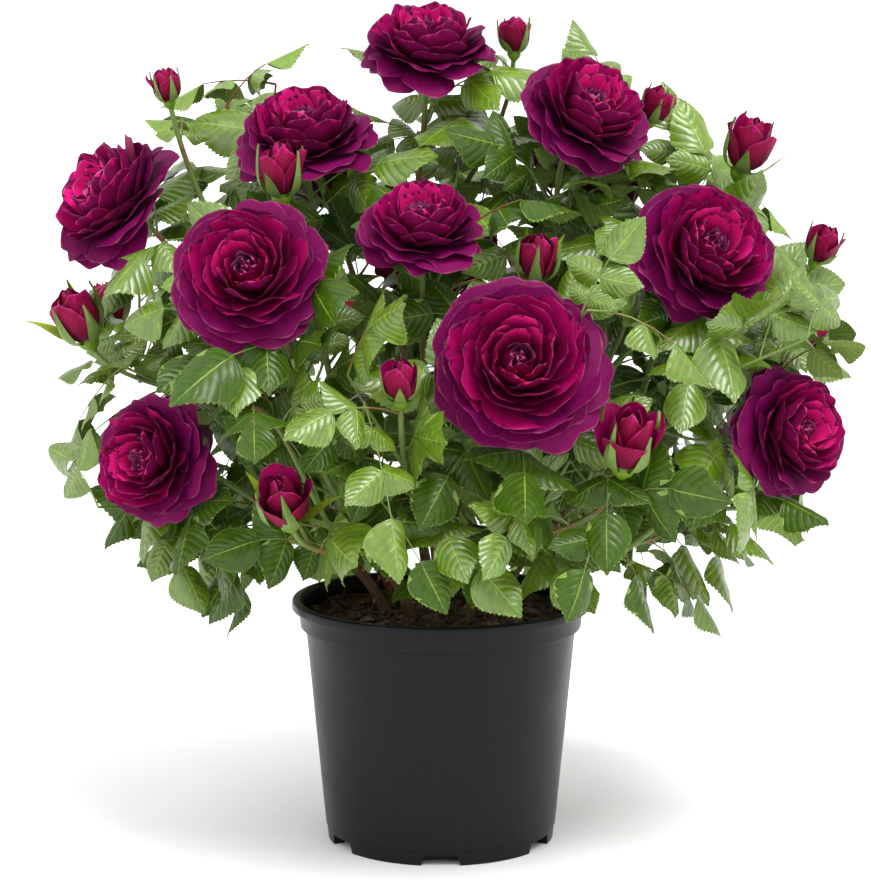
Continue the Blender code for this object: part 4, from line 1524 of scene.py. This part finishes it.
# --- canes, stems and thorns ---
def build_canes():
    """Makes the canes, with lumps and furrows in their bark."""
    stems = settings().stems
    gathered = Gathering()
    for number, path in enumerate(skeleton()[0].values()):
        path = [path[0] - UP * CANE_SUNK] + path
        steps = len(path) - 1
        pattern = tube_pattern(CANE_SIDES, steps)
        points = tube_points(pattern, path, [cane_radius(i / steps) for i in range(steps + 1)])
        centres = np.array([tuple(p) for p in path])[np.rint(pattern.points[:, 2]).astype(int)]
        out = points - centres
        relief = []
        for corner, centre in zip(pattern.points, centres):
            turn = math.atan2(corner[1], corner[0])
            east, north = math.cos(turn) * 2.2, math.sin(turn) * 2.2
            furrow = noise.noise(Vector((east, north, centre[2] * 30 + number)))
            lump = noise.noise(Vector(centre) * 45 + Vector((number, 0, 0)))
            relief.append(1 + (furrow * 1.6 + lump * 1.2) * stems.bark_relief / CANE_TIP_RADIUS)
        gathered.add(pattern, centres + out * np.array(relief)[:, None])
    bark = cane_bark("split_cane_bark", stems.bark, stems.bark_green)
    made = gathered.piece("cane_relief", [bark])
    ride(made, "cane_bark", *CANES)


def radius_at(radii, place):
    """The radius at a share of a stem's steps."""
    return radii[int(place * (len(radii) - 1))]


def build_stems():
    """Makes the green stems with the leaf stalks, and then the thorns."""
    chosen = settings().stems
    stems, leaves = plant()
    gathered = Gathering()
    for stem in stems:
        pattern = tube_pattern(6 if stem.young else 8, len(stem.path) - 1)
        gathered.add(pattern, tube_points(pattern, stem.path, stem.radii))
    stalk = tube_pattern(4, STALK_STEPS)
    for leaf in leaves:
        radii = [leaf.radius * part for part in STALK_TAPER]
        gathered.add(stalk, tube_points(stalk, leaf.rachis, radii))
    made = gathered.piece("green_stems", [stem_skin("stem_skin", chosen.stem, chosen.flush)])
    ride(made, "foliage", *SPRAYS)

    rng = random.Random(f"thorns {SEED}")
    thorn = thorn_pattern()
    thorns = Gathering()
    lines = [(path, cane_radius, CANE_THORN) for path in skeleton()[0].values()]
    for stem in stems:
        if not stem.young:
            lines.append((stem.path, functools.partial(radius_at, stem.radii), STEM_THORN))
    for path, radius, tall in lines:
        long = long_of(path)
        gone = THORN_FREE[0]
        while gone < long - THORN_FREE[1]:
            point, along = at(path, gone / long)
            across, upwards = square_frame(along)
            turn = rng.uniform(0, 2 * math.pi)
            out = across * math.cos(turn) + upwards * math.sin(turn)
            grown = tall * rng.uniform(0.6, 1.1)
            root = point + out * (radius(gone / long) * 0.8)
            side = along.cross(out)
            shape = thorn.points.copy()
            lean = -THORN_HOOK * shape[:, 2] ** 2
            points = (
                np.outer(shape[:, 0] * THORN_WIDE * grown, tuple(side))
                + np.outer(shape[:, 1] * THORN_TALL * grown + lean * grown, tuple(along))
                + np.outer(shape[:, 2] * grown, tuple(out))
            )
            thorns.add(thorn, points + np.array(tuple(root)))
            gone += rng.uniform(*THORN_SPACING)
    skin = stem_skin("thorn_skin", chosen.thorn, chosen.flush)
    made = thorns.piece("thorns", [skin], sharp=60.0)
    ride(made, "cane_bark")


# --- leaf pieces ---
def leaflet_variants(pattern):
    """A few unit leaflets, each with its own fold, droop, twist and waves."""
    x, t, under = pattern.points.T
    rng = random.Random(f"leaflets {SEED}")
    step = (t * LEAFLET_ROWS * 4) % 2
    tooth = (np.abs(x) > 0.999) & (np.abs(step - 1) < 0.01)
    shapes = []
    for _ in range(VARIANTS):
        wide = LEAFLET_WIDE * rng.uniform(0.94, 1.06)
        rise_by, fall_by = rng.uniform(0.50, 0.60), rng.uniform(0.94, 1.10)
        peak = rise_by / (rise_by + fall_by)
        outline = np.clip(t, 0.0, 1.0) ** rise_by * np.clip(1 - t, 0.0, 1.0) ** fall_by
        outline = outline / (peak ** rise_by * (1 - peak) ** fall_by)
        along = t + np.where(tooth, 0.020, 0.0)
        half = x * wide * outline
        half = half + np.where(tooth, np.sign(x) * 0.015, 0.0) * np.clip(outline * 1.5, 0, 1)
        fold = rng.uniform(0.18, 0.38)
        rise = fold * np.abs(half) - 1.15 * half * half / wide * rng.uniform(0.6, 1.1)
        deep = rng.uniform(0.01, 0.03)
        waves = np.sin(rng.uniform(5, 8) * t * 2 + rng.uniform(0, 6))
        rise = rise + deep * waves * np.abs(x) * outline
        droop = rng.uniform(0.05, 0.5)
        angle = droop * along
        straight, sunk = np.sin(angle) / droop, -(1 - np.cos(angle)) / droop
        twist = rng.uniform(-0.25, 0.25) * t
        side = half * np.cos(twist) - rise * np.sin(twist)
        lift = half * np.sin(twist) + rise * np.cos(twist) + sunk + under * 0.009
        shapes.append(np.stack((side, straight, lift), axis=1))
    return shapes


def build_leaves():
    """Makes the leaves in three pieces, from low to high."""
    chosen = settings().leaves
    pattern = sheet_pattern(4, LEAFLET_ROWS, side_cuts=3, pointed=True)
    variants = leaflet_variants(pattern)
    # The four greens are painted shade and light, dealt out by place in the bush; the deep one also
    # glosses less.
    greens = [
        leaf_green("waxy_leaf_" + shade, getattr(chosen, shade), chosen.vein, gloss)
        for shade, gloss in (("deep", 0.35), ("middle", 1.0), ("light", 1.0), ("young", 1.0))
    ]
    greens.append(leaf_under("matt_leaf_underside", chosen.under, chosen.vein))
    ordered = sorted(plant()[1], key=lambda leaf: leaf.rachis[0].z)
    names = ("leaves_low", "leaves_middle", "leaves_high")
    count = math.ceil(len(ordered) / len(names))
    for number, name in enumerate(names):
        gathered = Gathering()
        for leaf in ordered[number * count:(number + 1) * count]:
            for one in leaf.leaflets:
                side = one.heading.cross(one.normal)
                axes = np.array([tuple(side), tuple(one.heading), tuple(one.normal)]) * one.long
                points = variants[one.variant] @ axes + np.array(tuple(one.root))
                gathered.add(pattern, points, (leaf.shade, 4))
        made = gathered.piece(name, greens)
        ride(made, "foliage", *SPRAYS)


# --- flowers and buds ---
# A flower's rings, from the outside in: petals in the ring, then their tips' distance from the
# axis and height, their half width, and how far their edges roll out, as shares of its radius.
BLOOM_RINGS = (
    (8, 1.04, -0.26, 0.49, 0.12),
    (8, 0.96, -0.08, 0.47, 0.10),
    (7, 0.85, 0.07, 0.45, 0.08),
    (7, 0.72, 0.20, 0.41, 0.06),
    (6, 0.60, 0.30, 0.37, 0.05),
    (6, 0.49, 0.37, 0.32, 0.03),
    (5, 0.40, 0.41, 0.29, 0.00),
    (5, 0.32, 0.35, 0.24, -0.03),
    (6, 0.20, 0.24, 0.15, -0.08),
    (5, 0.09, 0.23, 0.11, -0.07),
)
# The first ring of each shade of petal after the outer one.
SHADE_RINGS = (3, 6, 8)
# How much a petal's pale rim shows, for each shade: the rim is a paler edge with a painted
# highlight along it.
PETAL_RIMS_AND_HIGHLIGHTS = (("outer", 0.16), ("middle", 0.38), ("inner", 0.65), ("eye", 0.7))
REVERSE_RIM_AND_HIGHLIGHT = 0.16
LAP = 0.07
BUD_RINGS = (
    (3, 0.92, 0.72, 0.92, 0.26),
    (3, 0.56, 0.98, 0.84, 0.12),
    (3, 0.26, 1.10, 0.62, 0.04),
    (3, 0.09, 1.04, 0.36, 0.00),
)
BUD_CLOSED = 0.55
BUD_POINT = -0.09


def petal_points(pattern, line, half, roll, wrap, ruffle, tip_round, notch, lap, rng):
    """Points of one petal in its flower's own frame: out, aside and along the axis.

    line gives four control points, as distance from the axis and height. The petal wraps round the
    axis, its end is round with a small notch, its edge rolls out and its rim is ruffled. One side
    laps over the next petal.
    """
    x, t, under = pattern.points.T
    x = np.sin(x * math.pi / 2)
    end = 1 - tip_round * (1 - np.sqrt(np.clip(1 - x * x, 0, 1)))
    end = end - notch * np.exp(-((x / 0.22) ** 2))
    end = end + 0.02 * np.sin(x * rng.uniform(4, 8) + rng.uniform(0, 6))
    t = t * end
    s = 1 - t
    control = np.array(line)
    basis = np.stack((s**3, 3 * s * s * t, 3 * s * t * t, t**3), axis=1)
    slope = np.stack((-3 * s * s, 3 * s * s - 6 * s * t, 6 * s * t - 3 * t * t, 3 * t * t), axis=1)
    out, height = (basis @ control).T
    way = slope @ control
    way = way / np.linalg.norm(way, axis=1)[:, None]
    inward = np.stack((-way[:, 1], way[:, 0]), axis=1)
    opening = 0.16 + 0.84 * np.sin(np.clip(t / 0.62, 0, 1) * math.pi / 2)
    aside = x * half * opening
    phase = rng.uniform(0, 6.28)
    slow = np.sin(x * rng.uniform(1.8, 3.2) + phase)
    quick = np.sin(x * rng.uniform(5, 8) + 2 * phase)
    wave = ruffle * t**2 * (slow + 0.45 * quick)
    curl = -roll * np.clip((t - 0.55) / 0.45, 0, 1) ** 2
    curl = curl - roll * 0.6 * x * x * np.clip((t - 0.25) / 0.6, 0, 1)
    shift = wave + curl + lap * x * np.clip(t / 0.5, 0, 1) + under * 0.006
    out = out + inward[:, 0] * shift
    height = height + inward[:, 1] * shift
    around = np.maximum(out, 0.16) * wrap
    turn = aside / around
    return np.stack((out - around * (1 - np.cos(turn)), around * np.sin(turn), height), axis=1)


def place_petal(points, azimuth, tip, across, upwards):
    """Turns a petal round its flower's axis and sets it in the plant."""
    c, s = math.cos(azimuth), math.sin(azimuth)
    east = points[:, 0] * c - points[:, 1] * s
    north = points[:, 0] * s + points[:, 1] * c
    axes = np.array([tuple(across), tuple(upwards), tuple(tip.axis)]) * tip.radius
    return np.stack((east, north, points[:, 2]), axis=1) @ axes + np.array(tuple(tip.place))


def petal_materials():
    """The velvets of an open flower, from its outer petals to its eye, and that of their backs."""
    chosen = settings().flowers
    velvets = [
        petal_velvet("petal_velvet_" + ring, getattr(chosen, ring), chosen.rim, shown)
        for ring, shown in PETAL_RIMS_AND_HIGHLIGHTS
    ]
    return velvets + [petal_velvet("petal_reverse", chosen.reverse, chosen.rim, REVERSE_RIM_AND_HIGHLIGHT)]


def bloom_petals(gathered, pattern, tip, rng):
    """An open flower: wide rolled petals outside, a bowl of upright ones, and a curled eye."""
    across, upwards = square_frame(tip.axis)
    start = rng.uniform(0, 6.28)
    for number, (count, far, tall, half, roll) in enumerate(BLOOM_RINGS):
        place = number / (len(BLOOM_RINGS) - 1)
        inner = min(1.0, place / 0.55)
        start += math.pi / count + rng.uniform(-0.2, 0.2)
        for k in range(count):
            spread = (1 - place) ** 2
            reach = far * (1 + rng.uniform(-0.10, 0.08) * (0.35 + 0.65 * spread))
            lift = tall + rng.uniform(-0.02, 0.02) - spread * rng.choice((0.0, 0.0, 0.12))
            foot = 0.09 - 0.06 * place
            line = (
                (foot, -0.44),
                (foot + (reach - foot) * (0.45 + 0.25 * inner), -0.42 + 0.10 * place),
                (reach * (0.74 + 0.38 * inner), lift - 0.04 - 0.26 * inner),
                (reach, lift),
            )
            points = petal_points(
                pattern,
                line,
                half * rng.uniform(0.88, 1.1),
                roll * rng.uniform(0.4, 1.7),
                1.5 - 0.5 * inner,
                (0.055 - 0.03 * place) * rng.uniform(0.6, 1.4),
                rng.uniform(0.28, 0.40),
                rng.choice((0.0, 0.03, 0.07)) * (1 - place),
                LAP * (1 - 0.6 * place),
                rng,
            )
            azimuth = start + 2 * math.pi * k / count + rng.uniform(-0.13, 0.13)
            shade = sum(number >= first for first in SHADE_RINGS)
            gathered.add(pattern, place_petal(points, azimuth, tip, across, upwards), (shade, 4))


def bud_petal_shapes(gathered, pattern, tip, rng):
    """A bud: petals wrapped one round the next, the outer ones with their tips rolled back."""
    across, upwards = square_frame(tip.axis)
    start = rng.uniform(0, 6.28)
    opening = rng.uniform(BUD_CLOSED, 1.0)
    for number, (count, far, tall, half, roll) in enumerate(BUD_RINGS):
        place = number / (len(BUD_RINGS) - 1)
        belly = 0.86 - 0.46 * place
        start += math.pi / count
        for k in range(count):
            reach = far * opening * rng.uniform(0.9, 1.1)
            line = ((0.16, -0.9), (belly * 1.15, -0.75), (belly * 1.05, 0.45), (reach, tall))
            wide, rolled = half * rng.uniform(0.9, 1.1), roll * rng.uniform(0.5, 1.6)
            points = petal_points(
                pattern, line, wide, rolled, 1.0, 0.03, 0.42, BUD_POINT, LAP, rng
            )
            azimuth = start + 2 * math.pi * k / count + rng.uniform(-0.1, 0.1)
            gathered.add(pattern, place_petal(points, azimuth, tip, across, upwards), (0, 1))


def calyx(gathered, sepal, tip, rng):
    """Five sepals and the hip below a flower or bud."""
    across, upwards = square_frame(tip.axis)
    start = rng.uniform(0, 6.28)
    open_flower = tip.kind == "bloom"
    for k in range(5):
        if open_flower:
            far = rng.uniform(0.38, 0.5)
            low = -0.56 - rng.uniform(0.02, 0.14)
            line = ((0.09, -0.46), (0.22, -0.52), (far * 0.8, -0.56), (far, low))
            half, roll = 0.10, 0.0
        else:
            flare = rng.choice((0.0, 0.1, 0.2, 0.7, 1.0))
            line = (
                (0.30, -1.02),
                (1.14, -0.75),
                (1.10 + 0.2 * flare, 0.15 - 0.3 * flare),
                (0.84 + 1.2 * flare, 1.18 - 0.9 * flare),
            )
            half, roll = 0.54, 0.08
        points = petal_points(sepal, line, half, roll, 1.0, 0.0, 0.0, 0.0, 0.0, rng)
        left = np.clip(1 - sepal.points[:, 1], 0.0, 1.0)
        points[:, 1] *= left ** (0.8 if open_flower else 1.1) + 0.05
        azimuth = start + k * 2 * math.pi / 5
        gathered.add(sepal, place_petal(points, azimuth, tip, across, upwards), (0, 1))
    hip = tube_pattern(10, 6)
    low, high, fat = (-0.74, -0.43, 0.11) if open_flower else (-1.62, -0.84, 0.43)
    path = [tip.place + tip.axis * (tip.radius * (low + (high - low) * i / 6)) for i in range(7)]
    swell = (0.25, 0.42, 0.68, 0.90, 1.0, 0.98, 0.86)
    gathered.add(hip, tube_points(hip, path, [fat * w * tip.radius for w in swell]), (2,))


def build_flowers():
    """Makes the open flowers in three pieces, from front to back."""
    sprays = skeleton()[1]
    pattern = sheet_pattern(8, 6, side_cuts=1, end_cuts=1)
    materials = petal_materials()
    blooms = sorted(
        (tip for tips, _ in sprays.values() for tip in tips if tip.kind == "bloom"),
        key=lambda tip: tip.place.y,
    )
    names = ("blooms_front", "blooms_side", "blooms_back")
    third = math.ceil(len(blooms) / len(names))
    for number, name in enumerate(names):
        gathered = Gathering()
        for k, tip in enumerate(blooms[number * third:(number + 1) * third]):
            bloom_petals(gathered, pattern, tip, random.Random(f"{name} {k} {SEED}"))
        made = gathered.piece(name, materials, sharp=100.0)
        ride(made, "petals")


def build_buds():
    """Makes the buds, and the sepals and hips of buds and flowers."""
    flowers, greens = settings().flowers, settings().leaves
    sprays = skeleton()[1]
    pattern = sheet_pattern(8, 6, side_cuts=1, end_cuts=1)
    sepal = sheet_pattern(2, 8)
    buds, calyxes = Gathering(), Gathering()
    rng = random.Random(f"buds {SEED}")
    for tips, _ in sprays.values():
        for tip in tips:
            if tip.kind == "bud":
                bud_petal_shapes(buds, pattern, tip, rng)
            if tip.kind != "shoot":
                calyx(calyxes, sepal, tip, rng)
    velvets = [
        petal_velvet("bud_velvet", flowers.middle, flowers.rim, 0.3),
        petal_velvet("bud_reverse", flowers.bud, flowers.rim, 0.25),
    ]
    ride(buds.piece("bud_petals", velvets, sharp=100.0), "petals")
    made = calyxes.piece(
        "sepals_and_hips",
        [
            hip_skin("sepal_skin", greens.young),
            hip_skin("sepal_lining", greens.under),
            hip_skin("hip_skin", greens.light),
        ],
    )
    ride(made, "foliage")


# --- stage ---
def build_stage():
    """Makes the floor, the light from all round, four soft lamps and the camera."""
    stage = settings().stage
    bm = bmesh.new()
    bmesh.ops.create_grid(bm, x_segments=1, y_segments=1, size=60.0)
    made = stand("studio_floor", mesh_of("studio_floor", bm))
    board, _, shader = finish("painted_studio_board", Roughness=0.8, Specular_IOR_Level=0.2)
    shader.inputs["Base Color"].default_value = (*stage.floor, 1.0)
    made.data.materials.append(board)

    world = bpy.data.worlds.new("studio")
    bpy.context.scene.world = world
    world.use_nodes = True
    light = world.node_tree.nodes["Background"]
    light.inputs["Color"].default_value = (1.0, 1.0, 1.0, 1.0)
    light.inputs["Strength"].default_value = stage.world

    # Each lamp: its strength, how wide it looks, where it stands round the plant and how high.
    for name, strength, angle, turn, lift in (
        ("key", stage.key, 28.0, 32.0, 60.0),
        ("fill", stage.fill, 45.0, -44.0, 48.0),
        ("right_strip", stage.strips, 32.0, 66.0, 3.0),
        ("left_strip", stage.strips * 0.4, 32.0, -58.0, 3.0),
    ):
        lamp = bpy.data.lights.new(name, "SUN")
        lamp.energy = strength
        lamp.angle = math.radians(angle)
        held = bpy.data.objects.new(name, lamp)
        held.rotation_euler = facing(turn, lift).to_track_quat("Z", "Y").to_euler()
        bpy.context.scene.collection.objects.link(held)

    camera = bpy.data.cameras.new("camera")
    camera.sensor_width = SENSOR_WIDE
    camera.lens = LENS_POINTS * SENSOR_WIDE / PICTURE_POINTS
    held = bpy.data.objects.new("camera", camera)
    held.location = CAMERA_PLACE
    held.rotation_euler = (math.pi / 2 - CAMERA_DOWN, 0.0, 0.0)
    bpy.context.scene.collection.objects.link(held)
    bpy.context.scene.camera = held
    bpy.context.scene.view_settings.view_transform = "Standard"


# --- operators, panel and the run ---
def operator(idname, label, words, build):
    """An operator that makes one piece or group of pieces."""

    def execute(self, context):
        build()
        return {"FINISHED"}

    return type(
        "ROSE_OT_" + idname,
        (bpy.types.Operator,),
        {
            "bl_idname": "rose." + idname,
            "bl_label": label,
            "bl_options": {"REGISTER", "UNDO"},
            "__doc__": words,
            "execute": execute,
        },
    )


OPERATORS = (
    operator("pot", "Pot", "Make the turned pot with its rolled lip and drain notches", build_pot),
    operator("soil", "Soil", "Make the soil and the bark chips on it", build_soil),
    operator("canes", "Canes", "Make the canes with their bark", build_canes),
    operator("stems", "Stems", "Make the green stems, leaf stalks and thorns", build_stems),
    operator("leaves", "Leaves", "Make the compound leaves", build_leaves),
    operator("flowers", "Flowers", "Make the open flowers, petal by petal", build_flowers),
    operator("buds", "Buds", "Make the buds, sepals and hips", build_buds),
    operator("stage", "Stage", "Make the floor, the light and the camera", build_stage),
)


class ROSE_PT_panel(bpy.types.Panel):
    """Lists the pieces of the rose bush and their settings."""

    bl_label = "Rose bush"
    bl_idname = "ROSE_PT_panel"
    bl_space_type = "VIEW_3D"
    bl_region_type = "UI"
    bl_category = "Rose bush"

    def draw(self, context):
        layout = self.layout
        for one in OPERATORS:
            layout.operator(one.bl_idname)
        for group in ("pot", "leaves", "flowers", "stems", "stage"):
            box = layout.box()
            box.label(text=group.capitalize())
            held = getattr(context.scene.rose_bush, group)
            for name in held.__annotations__:
                box.prop(held, name)


CLASSES = (
    RosePotSettings,
    RoseLeafSettings,
    RoseFlowerSettings,
    RoseStemSettings,
    RoseStageSettings,
    RoseBushSettings,
    *OPERATORS,
    ROSE_PT_panel,
)


def register():
    for one in CLASSES:
        bpy.utils.register_class(one)
    bpy.types.Scene.rose_bush = PointerProperty(type=RoseBushSettings)


def unregister():
    del bpy.types.Scene.rose_bush
    for one in reversed(CLASSES):
        bpy.utils.unregister_class(one)


def main():
    """Makes the whole stage through the add-on's operators, and writes its size."""
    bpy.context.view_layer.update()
    register()
    for one in OPERATORS:
        group, name = one.bl_idname.split(".")
        getattr(getattr(bpy.ops, group), name)()
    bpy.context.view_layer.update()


if __name__ == "__main__":
    main()
